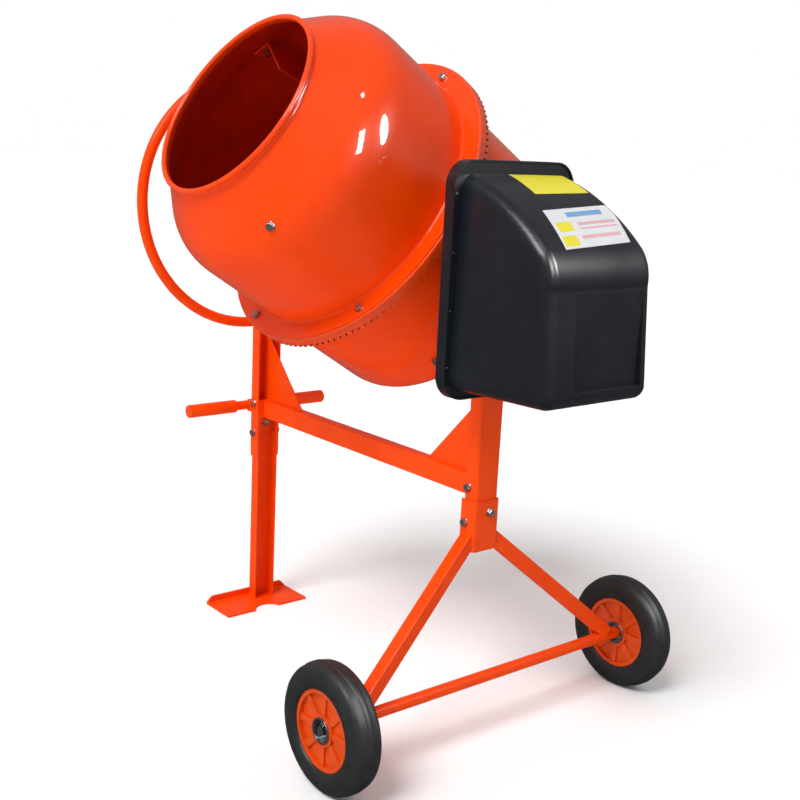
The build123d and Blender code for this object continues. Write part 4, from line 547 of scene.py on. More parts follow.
def weld_grower() -> Grower:
    """Make the tree that lays the overlapping ripples of a weld along a line."""
    grower = Grower("weld ripples along a line", {"Spacing": "NodeSocketFloat", "Radius": "NodeSocketFloat",
                                                  "Seed": "NodeSocketInt"})
    given, add = grower.given, grower.add
    line = add("GeometryNodeMeshToCurve", {"Mesh": given["Geometry"]})
    even = add("GeometryNodeResampleCurve", {"Curve": line, "Length": given["Spacing"]}, mode="LENGTH")
    drop = add("GeometryNodeMeshUVSphere", {"Segments": 10, "Rings": 6, "Radius": given["Radius"]})
    size = add("FunctionNodeRandomValue", {2: 0.82, 3: 1.1, "Seed": given["Seed"]}, 1, data_type="FLOAT")
    grower.close(add("GeometryNodeInstanceOnPoints", {"Points": even, "Instance": drop, "Scale": size}))
    return grower


def line_source(lines: Iterable[Sequence[Vector]], closed: bool = False) -> bpy.types.Object:
    """Make a mesh of edges along these lines of points."""
    build = bmesh.new()
    for line in lines:
        verts = [build.verts.new(point) for point in line]
        for first, second in zip(verts, verts[1:] + (verts[:1] if closed else [])):
            build.edges.new((first, second))
    mesh = bpy.data.meshes.new("line")
    build.to_mesh(mesh)
    build.free()
    return new_object("line", mesh)


def aimed_points(places: Iterable[tuple[Vector, Vector]]) -> bpy.types.Object:
    """Make a mesh of points that each carry the turn that aims local z along a direction."""
    places = list(places)
    mesh = bpy.data.meshes.new("points")
    mesh.from_pydata([point for point, _ in places], [], [])
    aim = mesh.attributes.new("aim", "FLOAT_VECTOR", "POINT")
    for number, (_, way) in enumerate(places):
        aim.data[number].vector = Vector(way.to_track_quat("Z", "Y").to_euler("XYZ"))
    return new_object("points", mesh)


FASTENERS = fastener_grower()
ROUND = ring_grower()
TUBES = tube_grower()
WELDS = weld_grower()


# ---------------------------------------------------------------- fastening pieces to the frame
def finish(piece: bpy.types.Object, look: Finish, body: str, *nodes: str,
           keep: bool = False) -> bpy.types.Object:
    """Dress a piece, ride it on its body and report it.

    Args:
        piece: The piece.
        look: Its finish.
        body: The CAD body it moves with.
        nodes: The CAD nodes it stands for.
        keep: Whether it has its materials already.

    Returns:
        The same piece.
    """
    if not keep:
        piece.data.materials.clear()
        piece.data.materials.append(look.material())
    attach(piece, body)
    if nodes:
        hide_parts(*nodes)
    log.info("%s rides on %s, %d faces", piece.name, body, len(piece.data.polygons))
    return piece


def cad_piece(name: str, look: Finish, body: str, edge: float, *nodes: str) -> bpy.types.Object:
    """Copy CAD nodes into a dressed piece whose edges are softened by this width."""
    return finish(refined(name, *nodes, edge=edge), look, body, *nodes)


def merge(parts: Iterable[bpy.types.Object]) -> bmesh.types.BMesh:
    """Join objects into one mesh in the making, and remove them."""
    build = bmesh.new()
    for part in parts:
        build.from_mesh(part.data)
        bpy.data.objects.remove(part)
    return build


def dress(look: Finish, *nodes: str) -> None:
    """Give CAD nodes that keep their own shape a finish."""
    for node in nodes:
        held = frame["nodes"][node]
        for place in held.material_slots:
            place.link = "OBJECT"
            place.material = look.material()
        log.info("%s keeps its shape", node)


# ---------------------------------------------------------------- studio
@dataclass
class Studio:
    """Pale floor, soft lights and the camera."""

    floor_half: float = 40.0
    camera_place: tuple[float, float, float] = (1806.8, -1421.0, 1043.0)
    azimuth: float = 50.1
    pitch: float = 12.4
    roll: float = 2.8
    lens: float = 53.6
    sun: float = 2.35
    sun_way: tuple[float, float, float] = (0.15, -0.6, 0.78)
    sun_angle: float = 28.0
    seen: float = 1.0
    soft: tuple[float, float] = (0.84, 0.3)
    gloss: float = 0.25
    glints: dict[str, tuple] = field(default_factory=lambda: {
        "window": ((2258.0, -392.0, 1923.0), (252.0, -229.0, 1034.0), (0.3, 0.8), 36.0, "RECTANGLE"),
        "umbrella": ((2016.0, 825.0, 1906.0), (258.0, -187.0, 1055.0), (0.5, 1.0), 60.0, "ELLIPSE"),
        "high lamp": ((1150.0, -330.0, 3000.0), (250.0, -229.0, 1034.0), (0.16, 0.16), 3.0, "ELLIPSE"),
    })

    def build(self) -> None:
        """Make the floor, the lights and the camera."""
        self._floor()
        self._world()
        lamp = bpy.data.lights.new("sky window", "SUN")
        lamp.energy = self.sun
        lamp.angle = math.radians(self.sun_angle)
        self._hang(lamp, Vector(self.sun_way), Vector((0, 0, 0)))
        for name, (place, aim, size, watts, shape) in self.glints.items():
            lamp = bpy.data.lights.new(name, "AREA")
            lamp.shape = shape
            lamp.size, lamp.size_y = size
            lamp.energy = watts
            self._hang(lamp, at(*place), at(*aim)).visible_diffuse = False
        self._camera()
        bpy.context.scene.view_settings.view_transform = "Standard"

    def _hang(self, lamp: bpy.types.Light, place: Vector, aim: Vector) -> bpy.types.Object:
        """Put a lamp at a place, shining at a point."""
        held = bpy.data.objects.new(lamp.name, lamp)
        held.location = place
        held.rotation_euler = (aim - place).to_track_quat("-Z", "Y").to_euler()
        bpy.context.scene.collection.objects.link(held)
        return held

    def _floor(self) -> None:
        """Lay the plain pale floor."""
        half = self.floor_half
        build = bmesh.new()
        corners = ((-1, -1), (1, -1), (1, 1), (-1, 1))
        build.faces.new([build.verts.new((x * half, y * half, 0)) for x, y in corners])
        floor = mesh_object("studio_floor", build, outward=False)
        paint = bpy.data.materials.new("matt studio floor")
        paint.use_nodes = True
        tree = paint.node_tree
        shader = tree.nodes["Principled BSDF"]
        ray = add_node(tree, "ShaderNodeLightPath").outputs["Is Glossy Ray"]
        shade = add_node(tree, "ShaderNodeMix", {0: ray, 6: linear("#FCFCFC"), 7: linear("#505050")},
                         data_type="RGBA")
        tree.links.new(shade.outputs[2], shader.inputs["Base Color"])
        shader.inputs["Roughness"].default_value = 0.9
        floor.data.materials.append(paint)

    def _world(self) -> None:
        """Fill the studio with even pale light."""
        world = bpy.data.worlds.new("studio")
        world.use_nodes = True
        tree = world.node_tree
        back = tree.nodes["Background"]
        ray = add_node(tree, "ShaderNodeLightPath").outputs
        way = add_node(tree, "ShaderNodeTexCoord").outputs["Generated"]
        across = add_node(tree, "ShaderNodeSeparateXYZ", {0: way}).outputs["X"]
        even = add_node(tree, "ShaderNodeMapRange", {"Value": across, "From Min": -1.0, "From Max": 1.0,
                                                     "To Min": self.soft[0], "To Max": self.soft[1]})
        lit = add_node(tree, "ShaderNodeMix", {0: ray["Is Glossy Ray"], 2: even.outputs[0], 3: self.gloss})
        shown = add_node(tree, "ShaderNodeMix", {0: ray["Is Camera Ray"], 2: lit.outputs[0], 3: self.seen})
        tree.links.new(shown.outputs[0], back.inputs["Strength"])
        back.inputs["Color"].default_value = linear("#FFFFFF")
        bpy.context.scene.world = world

    def _camera(self) -> None:
        """Set the camera's place and direction."""
        turn, down, lean = (math.radians(a) for a in (self.azimuth, self.pitch, self.roll))
        ahead = Vector((-math.sin(turn) * math.cos(down), math.cos(turn) * math.cos(down), -math.sin(down)))
        right = Vector((math.cos(turn), math.sin(turn), 0))
        above = right.cross(ahead)
        across = right * math.cos(lean) + above * math.sin(lean)
        upward = above * math.cos(lean) - right * math.sin(lean)
        lens = bpy.data.cameras.new("camera")
        lens.lens = self.lens
        lens.sensor_width = 36.0
        lens.clip_start = 0.05
        camera = bpy.data.objects.new("camera", lens)
        camera.matrix_world = Matrix.Translation(at(*self.camera_place)) @ Matrix(
            (across, upward, -ahead)).transposed().to_4x4()
        bpy.context.scene.collection.objects.link(camera)
        bpy.context.scene.camera = camera


# ---------------------------------------------------------------- fasteners
@dataclass
class Fastener:
    """Hexagon bolt sizes, in millimetres."""

    flats: float = 13.0
    head: float = 5.3
    nut: float = 6.5
    washer_radius: float = 8.0
    washer: float = 1.6
    shank: float = 4.0
    chamfer: float = 0.8

    def head_mesh(self) -> bpy.types.Object:
        """Make a washer and chamfered hexagon head, behind local z = 0."""
        return self._stack("bolt head", -1, self.head, 0.0)

    def nut_mesh(self) -> bpy.types.Object:
        """Make a washer, a nut and the end of the thread, ahead of local z = 0."""
        return self._stack("nut", 1, self.nut, 2.0)

    def _stack(self, name: str, side: int, height: float, thread: float) -> bpy.types.Object:
        """Make a washer and hexagon, and a rounded thread end.

        Args:
            name: The shape's name.
            side: 1 to stand ahead of z = 0, or -1 behind it.
            height: Height of the hexagon.
            thread: How far the thread stands out of it.

        Returns:
            The template object.
        """
        corner = self.flats / math.sqrt(3)
        low, top = self.washer, self.washer + height
        hexagon = [(0, low), (corner - 0.3, low), (corner, low + 0.3), (corner, top - self.chamfer * 0.6),
                   (corner - self.chamfer, top), (0, top)]
        rim = self.washer_radius
        disc = [(0, 0), (rim, 0), (rim, low - 0.3), (rim - 0.3, low), (0, low)]
        parts = [(hexagon, 6), (disc, 24)]
        if thread:
            end, shank = top + thread, self.shank
            parts.append(([(0, top - 1), (shank, top - 1), (shank, end - 0.8), (shank - 0.8, end), (0, end)],
                          16))
        solids = [revolve("part", [(r, side * level) for r, level in outline], Matrix.Scale(MM, 4), steps,
                          crease=30) for outline, steps in parts]
        return mesh_object(name, merge(solids), 30)


def fasteners(name: str, look: Finish, body: str, shapes: Sequence[tuple[bpy.types.Object, list]],
              *nodes: str, seed: int = 1) -> bpy.types.Object:
    """Set fasteners on their points and join them into one piece.

    Args:
        name: The piece's name.
        look: Its finish.
        body: The CAD body it rides on.
        shapes: Each fastener's template, and its places and directions.
        nodes: The CAD nodes it stands for.
        seed: Seed of each fastener's turn.

    Returns:
        The piece.
    """
    grown = [FASTENERS.grow(f"{name}_{number}", aimed_points(places), look,
                            {"Fastener": template, "Seed": seed + number})
             for number, (template, places) in enumerate(shapes)]
    for template, _ in shapes:
        bpy.data.objects.remove(template)
    return finish(mesh_object(name, merge(grown), 30), look, body, *nodes)


def bolt_set(name: str, body: str, bolts: Sequence[tuple[Vector, Vector, float]], *nodes: str,
             seed: int = 1) -> None:
    """Set zinc bolts with their nuts.

    Args:
        name: The piece's name.
        body: The CAD body it rides on.
        bolts: Each bolt's place under its head, its direction and its grip in millimetres.
        nodes: The CAD nodes it stands for.
        seed: Seed of each bolt's turn.
    """
    kind = Fastener()
    heads = [(point, way) for point, way, _ in bolts]
    nuts = [(point + way * grip * MM, way) for point, way, grip in bolts]
    fasteners(name, ZINC, body, [(kind.head_mesh(), heads), (kind.nut_mesh(), nuts)], *nodes, seed=seed)


# ---------------------------------------------------------------- frame
@dataclass
class PressedFrame:
    """Foot plate, posts, crossbar, gussets and head brackets."""

    sheet: float = 3.0
    bend: float = 5.0
    edge: float = 0.7
    left_web: float = -373.0
    left_width: float = 56.0
    right_web: float = 363.0
    right_width: float = 58.0
    crossbar_top: float = 467.0
    gusset_reach: float = 157.0
    gusset_height: float = 165.0
    gusset_thickness: float = 4.0
    bead: float = 2.2
    ripple: float = 1.8
    foot_web: float = -343.0
    foot_weld: float = 5.4
    left_bolts: float = -358.0
    right_bolts: float = 338.0
    plate_bolts: tuple[float, ...] = (661.0, 845.0)
    two_sheets: float = 6.0

    def build(self) -> None:
        """Make the frame's pieces."""
        left_inner = (self.left_web + self.sheet, self.left_width - 2 * self.sheet)
        right_inner = (self.right_web - self.sheet, self.right_width - 2 * self.sheet)
        for node, (web, width) in {
            "left_post": left_inner,
            "left_head_bracket": (self.left_web, self.left_width),
            "right_head_bracket": right_inner,
            "wheel_post": (self.right_web, self.right_width),
        }.items():
            piece = refined(f"pressed_{node}", node, edge=self.edge, bend=self._bends(web, width))
            finish(piece, ORANGE, "frame", node)
        for node in ("foot_plate", "crossbar", "crossbar_shoes", "left_gusset", "right_gusset", "strut_near",
                     "strut_far", "axle_tube"):
            cad_piece(f"welded_{node}", ORANGE, "frame", self.edge, node)
        self._welds()
        self._bolts()
        cad_piece("machined_bearing_tubes", ORANGE, "frame", 0.5, "bearing_tubes")
        cad_piece("machined_lock_housing", ZINC, "frame", 0.5, "lock_housing")
        dress(BRONZE, "trunnion_bushes")

    def _bends(self, web: float, width: float) -> Callable[[bmesh.types.BMEdge], float]:
        """Make the test that finds a channel's pressed bends.

        Args:
            web: Outer face of the web, along X.
            width: Width over the flanges.

        Returns:
            A function from an edge to its bend radius in millimetres, or 0.
        """
        inner = web - math.copysign(self.sheet, web)

        def radius(edge: bmesh.types.BMEdge) -> float:
            """Give an edge's bend radius."""
            one, two = ((v.co - ORIGIN) / MM for v in edge.verts)
            if abs(one.z - two.z) < 20 or abs(one.x - two.x) > 0.05 or abs(one.y - two.y) > 0.05:
                return 0.0
            if abs(one.x - web) < 0.05 and abs(abs(one.y) - width / 2) < 0.05:
                return self.bend
            if abs(one.x - inner) < 0.05 and abs(abs(one.y) - width / 2 + self.sheet) < 0.05:
                return self.bend - self.sheet
            return 0.0

        return radius

    def _welds(self) -> None:
        """Lay the weld beads along the gussets, the foot plate and the crossbar."""
        lines = []
        side = self.gusset_thickness / 2 + 0.6
        for web, way in ((self.left_web + self.sheet, 1), (self.right_web - 2 * self.sheet, -1)):
            for y in (-side, side):
                lines.append([at(web + way * 2, y, self.crossbar_top + 0.4),
                              at(web + way * (self.gusset_reach - 6), y, self.crossbar_top + 0.4)])
                lines.append([at(web + way * 0.4, y, self.crossbar_top + 3),
                              at(web + way * 0.4, y, self.crossbar_top + self.gusset_height - 8)])
        post, half, up = self.left_web + self.sheet, self.left_width / 2 - self.sheet, self.foot_weld
        corners = ((self.foot_web, -half - 0.4), (post + 4, -half - 0.4), (post - 0.4, -half + 4),
                   (post - 0.4, half - 4), (post + 4, half + 0.4), (self.foot_web, half + 0.4))
        lines.append([at(x, y, up) for x, y in corners])
        piece = WELDS.grow("frame_weld_beads", line_source(lines), ORANGE,
                           {"Spacing": self.ripple * MM, "Radius": self.bead * MM, "Seed": 4}, crease=60)
        finish(piece, ORANGE, "frame")

    def _bolts(self) -> None:
        """Set the zinc bolts, each by the face under its head and its grip."""
        along, across = Vector((0, 1, 0)), Vector((1, 0, 0))
        left_x, right_x, thin = self.left_bolts, self.right_bolts, self.two_sheets
        bolts = [
            (at(left_x, -28, 458), along, 56.0), (at(left_x, -28, 392), along, 56.0),
            (at(self.left_web, 8, 409), across, thin),
            (at(right_x, -26, 447), along, 52.0), (at(right_x, -29, 383), along, 58.0),
            (at(self.right_web, 6, 402), -across, thin),
        ] + [(at(self.right_web, y, z), -across, thin) for y in (-14, 14) for z in self.plate_bolts]
        bolt_set("zinc_frame_bolts", "frame", bolts, "frame_bolts")


@dataclass
class PushHandle:
    """Bar across the left post with a closed sleeve on each end."""

    x: float = -387.0
    level: float = 449.0
    ends: tuple[float, float] = (-172.0, 170.0)
    bar: float = 10.0
    grip: float = 14.0
    grip_length: float = 117.0
    cap: float = 4.0

    def build(self) -> None:
        """Make the bar, its saddles and the two grips."""
        bar = TUBES.grow("handle_tube", line_source([[at(self.x, self.ends[0], self.level),
                                                      at(self.x, self.ends[1], self.level)]]),
                         ORANGE, {"Radius": self.bar * MM, "Sides": 32})
        finish(bar, ORANGE, "frame", "handle_bar")
        cad_piece("welded_saddles", ORANGE, "frame", 0.8, "handle_saddles")
        sleeves = []
        for end, way in ((self.ends[0] - self.cap, 1), (self.ends[1] + self.cap, -1)):
            radius, length = self.grip, self.grip_length
            outline = [(0, 0), (radius, 0), (radius, length), (self.bar, length), (self.bar, self.cap),
                       (0, self.cap)]
            place = axis_place(at(self.x, end, self.level), Vector((0, way, 0)))
            sleeves.append(revolve("grip", rounded(outline, {1: 3.0, 2: 1.5}), place, steps=48))
        finish(mesh_object("sleeve_grips", merge(sleeves)), ORANGE, "frame", "handle_grips")


# ---------------------------------------------------------------- wheels
@dataclass
class RoadWheel:
    """Solid tyre on a ribbed rim with a steel hub sleeve."""

    side_name: str
    side: int
    axle_x: float = 401.0
    half_track: float = 356.0
    tyre_radius: float = 110.0
    tyre_width: float = 54.0
    rim_radius: float = 68.0
    sleeve: float = 22.0
    sleeve_wall: float = 4.0
    sleeve_length: float = 46.0
    sleeve_core: float = 24.0
    bore: float = 8.05

    def build(self) -> None:
        """Make the tyre, the rim and the sleeve."""
        body = f"wheel_{self.side_name}"
        place = axis_place(at(self.axle_x, self.side * self.half_track, self.tyre_radius),
                           Vector((0, self.side, 0)))
        half, radius, rim = self.tyre_width / 2, self.tyre_radius, self.rim_radius
        outer = [(rim, half - 5), (rim + 3, half - 2), (rim + 9, half - 0.5), (rim + 17, half),
                 (rim + 26, half - 1.2), (radius - 12, half - 3), (radius - 7.6, half - 4.8),
                 (radius - 4.4, half - 7.6), (radius - 2.7, half - 10.8), (radius - 2.0, half - 14),
                 (radius - 1.6, 7.0), (radius - 1.3, 5.6), (radius - 0.6, 5.0), (radius, 4.2)]
        tyre = revolve(f"solid_tyre_{self.side_name}", outer + [(r, -level) for r, level in reversed(outer)],
                       place, steps=128, crease=50)
        finish(tyre, TYRE, body, f"tyre_{self.side_name}")
        cad_piece(f"ribbed_rim_{self.side_name}", RIM_ORANGE, body, 1.0, f"rim_{self.side_name}")
        inner, end, core = self.sleeve - self.sleeve_wall, self.sleeve_length / 2, self.sleeve_core / 2
        face = [(self.bore, core), (inner, core), (inner, end), (self.sleeve, end)]
        outline = rounded(face + [(r, -level) for r, level in reversed(face)],
                          {2: 0.6, 3: 0.8, 4: 0.8, 5: 0.6}, 3)
        finish(revolve(f"hub_sleeve_{self.side_name}_turned", outline, place, steps=64), TURNED_Y, body,
               f"hub_sleeve_{self.side_name}")


@dataclass
class Axle:
    """Stub axles with their washers and split pins."""

    axle_x: float = 401.0
    level: float = 110.0
    half_track: float = 356.0
    pin_place: float = 16.7
    wire: float = 1.5

    def build(self) -> None:
        """Make the axle ends and their split pins."""
        cad_piece("turned_stub_axles", TURNED_Y, "frame", 0.8, "stub_axles")
        cad_piece("zinc_axle_washers", ZINC, "frame", 0.4, "axle_washers")
        lines = []
        for side in (-1, 1):
            y = side * (self.half_track + self.pin_place)
            eye = [at(self.axle_x + 2.6 * math.sin(a), y, self.level + 13.4 - 3.0 * math.cos(a))
                   for a in (math.radians(20 + 32 * k) for k in range(11))]
            lines.append([at(self.axle_x + 0.5, y, self.level - 8), at(self.axle_x + 0.5, y, self.level + 9)]
                         + eye + [at(self.axle_x - 0.5, y, self.level + 9),
                                  at(self.axle_x - 0.5, y, self.level - 8),
                                  at(self.axle_x - 4, y, self.level - 13)])
        pins = TUBES.grow("split_pin_wires", line_source(lines), ZINC,
                          {"Radius": self.wire * MM, "Sides": 10})
        finish(pins, ZINC, "frame", "split_pins")


# ---------------------------------------------------------------- handwheel and tilt
@dataclass
class Handwheel:
    """Large tubular wheel that tips the drum, and the disc that locks it."""

    x: float = -425.0
    radius: float = 265.0
    tube: float = 11.0

    def build(self) -> None:
        """Make the ring, its bar, the hub, the lock disc and the pin."""
        circle = [at(self.x, self.radius * math.cos(a), TILT_HEIGHT + self.radius * math.sin(a))
                  for a in (math.tau * k / 120 for k in range(120))]
        ring = TUBES.grow("handwheel_tube", line_source([circle], closed=True), ORANGE,
                          {"Radius": self.tube * MM, "Sides": 24})
        finish(ring, ORANGE, "yoke", "handwheel_ring")
        cad_piece("handwheel_cross_tube", ORANGE, "yoke", 0.0, "handwheel_bar")
        cad_piece("handwheel_hub_turned", ORANGE, "yoke", 1.2, "handwheel_hub")
        cad_piece("lock_disc_plate", ZINC, "yoke", 0.6, "lock_disc")
        cad_piece("lock_pin_turned", ZINC, "lock_pin", 0.6, "lock_pin")


class Yoke:
    """Cranked bar round the bowl, with its trunnions and the spindle's housing."""

    def build(self) -> None:
        """Make the yoke and what turns with it."""
        cad_piece("bent_yoke", ORANGE, "yoke", 1.5, "yoke")
        cad_piece("cast_spindle_housing", ORANGE, "yoke", 1.0, "spindle_housing")
        cad_piece("turned_trunnions", TURNED_X, "yoke", 0.6, "left_trunnion", "right_trunnion")
        dress(TURNED_X, "pinion_bearings", "spindle_bearings")


# ---------------------------------------------------------------- drum
@dataclass
class Drum:
    """Pressed upper and lower shells, ring gear, blades and bolts, in levels along the drum axis."""

    wall: float = 2.5
    mouth_radius: float = 177.0
    mouth_level: float = 372.0
    neck_level: float = 358.0
    bead: float = 5.0
    upper_radius: float = 263.0
    shoulder_level: float = 265.78
    shoulder_blend: float = 115.0
    flange_radius: float = 296.0
    flange_level: float = 66.0
    lower_radius: float = 269.0
    bottom_level: float = -229.0
    bowl_blend: float = 52.0
    ring_radius: float = 302.0
    ring_face: float = 12.0
    ring_web: float = 8.0
    root_level: float = 49.45
    tip_level: float = 41.25
    teeth: int = 132
    tooth_root: float = 9.7
    tooth_tip: float = 3.73
    segments: int = 4
    joint_gap: float = 0.4
    bolt_circle: float = 281.0
    bolt_angles: tuple[int, ...] = (12, 72, 132, 192, 252, 312)
    blade_angles: tuple[int, ...] = (132, 312)
    low_bolt: float = -150.0
    # Level above which the bowl's outer band beside the gear's teeth gets painted shade.
    gear_shade_level: float = 35.0
    blade_grip: float = 7.5
    blade_lean: float = 35.0
    spindle_circle: float = 50.0
    spindle_flange: float = 8.0
    nut_flats: float = 36.0
    nut_bore: float = 15.0
    nut_ends: tuple[float, float] = (75.0, 65.0)

    def build(self) -> None:
        """Make the drum's pieces."""
        self._upper()
        self._lower()
        self._gear()
        # The blades get the darker, redder painted-shade coat of the drum's inside.
        cad_piece("welded_mixing_blades", SHADED_BLADE, "drum", 0.8, "mixing_blades")
        cad_piece("turned_spindle", TURNED_X, "drum", 0.8, "spindle")
        self._bolts()

    def _inside(self, line: Profile) -> Profile:
        """Give the line one wall inside a line that runs up the drum's outer face."""
        moved = []
        for number, (radius, level) in enumerate(line):
            ways = []
            for one, two in ((number - 1, number), (number, number + 1)):
                if one >= 0 and two < len(line):
                    ways.append((Vector(line[two]) - Vector(line[one])).normalized())
            normals = [Vector((-way.y, way.x)) for way in ways]
            middle = sum(normals, Vector((0, 0))).normalized()
            reach = self.wall / max(0.3, middle.dot(normals[0]))
            moved.append((radius + middle.x * reach, level + middle.y * reach))
        return moved

    def _upper(self) -> None:
        """Spin the cone, neck and rolled mouth."""
        wall = [(self.upper_radius, self.flange_level), (self.upper_radius, self.shoulder_level),
                (self.mouth_radius, self.neck_level), (self.mouth_radius, self.mouth_level - 2 * self.bead)]
        inner = self._inside(wall)
        flange_top = self.flange_level + self.wall
        outer = rounded([(inner[0][0], self.flange_level), (self.flange_radius, self.flange_level),
                         (self.flange_radius, flange_top), (self.upper_radius, flange_top), *wall[1:]],
                        {1: 0.7, 2: 1.1, 3: 5.0, 4: self.shoulder_blend, 5: 9.0}, 8)
        bead_level = self.mouth_level - self.bead
        roll = [(self.mouth_radius + self.bead * math.cos(math.radians(a)),
                 bead_level + self.bead * math.sin(math.radians(a))) for a in range(-72, 241, 18)]
        inside = rounded([inner[3], inner[2], inner[1], inner[0]],
                         {1: 9.0 + self.wall, 2: self.shoulder_blend - self.wall}, 8)
        shell = revolve("drum_upper_shell", outer + roll + inside[1:-1], DRUM_PLACE, steps=192, crease=42)
        # The inside faces get painted shade.
        self._paint(shell, (DRUM_ORANGE, SHADED_LINING, GEAR_SHADE), self._shell_paint_and_shade)
        finish(shell, DRUM_ORANGE, "drum", "drum_upper", keep=True)

    def _lower(self) -> None:
        """Spin the bowl and its flange."""
        flange_top = self.flange_level - self.ring_web
        bowl = [(0.0, self.bottom_level), (self.lower_radius, self.bottom_level),
                (self.lower_radius, flange_top)]
        inner = self._inside(bowl)
        edge = self.ring_radius - self.ring_face - 1
        # The point at this level splits the bowl's faces where the painted shade below the teeth begins.
        outer = rounded([bowl[0], bowl[1], (self.lower_radius, self.gear_shade_level),
                         (self.lower_radius, flange_top - self.wall), (edge, flange_top - self.wall),
                         (edge, flange_top), (inner[2][0], flange_top)],
                        {1: self.bowl_blend, 3: 3.0, 4: 0.8}, 8)
        inside = rounded([(inner[2][0], flange_top), inner[1], (0.0, self.bottom_level + self.wall)],
                         {1: self.bowl_blend - self.wall}, 8)
        shell = revolve("drum_lower_shell", outer + inside[1:], DRUM_PLACE, steps=192, crease=42)
        # The inside faces get painted shade, and so does the band beside the gear's teeth.
        self._paint(shell, (DRUM_ORANGE, SHADED_LINING, GEAR_SHADE), self._shell_paint_and_shade)
        finish(shell, DRUM_ORANGE, "drum", "drum_lower", keep=True)

    def _paint(self, piece: bpy.types.Object, looks: Sequence[Finish],
               pick: Callable[[Vector, Vector], int]) -> None:
        """Give each face of a piece one of several finishes.

        Args:
            piece: The piece.
            looks: The finishes.
            pick: Gives a finish's number from a face's centre and normal, both along the drum's own axes.
        """
        back = DRUM_PLACE.inverted()
        turn = back.to_3x3().normalized()
        for look in looks:
            piece.data.materials.append(look.material())
        for face in piece.data.polygons:
            face.material_index = pick(back @ face.center, turn @ face.normal)

    def _shell_paint_and_shade(self, spot: Vector, way: Vector) -> int:
        """Pick a shell's finish: painted shade on what looks into the drum, and painted shade on the band beside the
        gear's teeth.
        """
        radial = Vector((spot.x, spot.y, 0)).normalized()
        wall = spot.xy.length > self.mouth_radius - self.wall - 1.5
        inward = way.dot(radial) < -0.3 if wall else way.z > 0.3
        if not inward and self.gear_shade_level < spot.z < self.flange_level - self.ring_web:
            return 2
        return int(inward and spot.z < self.neck_level + 2)

    def _gear_paint_and_shade(self, spot: Vector, way: Vector) -> int:
        """Pick the gear's finish: painted shade on the teeth's flanks and roots."""
        outward = way.dot(Vector((spot.x, spot.y, 0)).normalized())
        return int(spot.z < self.root_level + 0.3 and outward < 0.6)

    def _gear(self) -> None:
        """Cast the four ring gear segments and set their teeth."""
        low, inner = self.flange_level - self.ring_web, self.ring_radius - self.ring_face
        outline = rounded([(self.upper_radius + 1, self.flange_level), (self.ring_radius, self.flange_level),
                           (self.ring_radius, self.root_level), (inner, self.root_level), (inner, low),
                           (self.upper_radius + 1, low)], {1: 1.2, 2: 1.0, 3: 0.8}, 3)
        gap = math.degrees(self.joint_gap / self.ring_radius)
        arc = 360 / self.segments
        arcs = [revolve("arc", outline, DRUM_PLACE, 48, arc - gap, quarter * arc + gap / 2)
                for quarter in range(self.segments)]
        tooth = self._tooth()
        ring = ROUND.grow("teeth", line_source([]), CAST,
                          {"Shape": tooth, "Count": self.teeth, "Radius": (inner + self.ring_face / 2) * MM,
                           "Offset": math.pi / self.teeth},
                          place=DRUM_PLACE @ Matrix.Scale(1 / MM, 4))
        bpy.data.objects.remove(tooth)
        gear = mesh_object("ring_gear_cast", merge([*arcs, ring]), 30)
        # The teeth's flanks and roots get painted shade.
        self._paint(gear, (CAST, GEAR_SHADE), self._gear_paint_and_shade)
        finish(gear, CAST, "drum", "ring_gear", keep=True)

    def _tooth(self) -> bpy.types.Object:
        """Make one gear tooth, pointing down local z, with softened tips."""
        build = bmesh.new()
        half_face = self.ring_face / 2 - 0.25
        section = [(-self.tooth_root / 2, self.root_level + 0.4), (-self.tooth_root / 2, self.root_level),
                   (-self.tooth_tip / 2, self.tip_level), (self.tooth_tip / 2, self.tip_level),
                   (self.tooth_root / 2, self.root_level), (self.tooth_root / 2, self.root_level + 0.4)]
        ends = [[build.verts.new(Vector((x, y, level)) * MM) for y, level in section]
                for x in (-half_face, half_face)]
        build.faces.new(ends[0])
        build.faces.new(ends[1])
        for k in range(len(section)):
            n = (k + 1) % len(section)
            build.faces.new((ends[0][k], ends[0][n], ends[1][n], ends[1][k]))
        tips = [e for e in build.edges if all(v.co.z < (self.tip_level + 0.1) * MM for v in e.verts)]
        bmesh.ops.bevel(build, geom=tips, offset=0.5 * MM, segments=2, affect="EDGES")
        return mesh_object("tooth", build, 30)

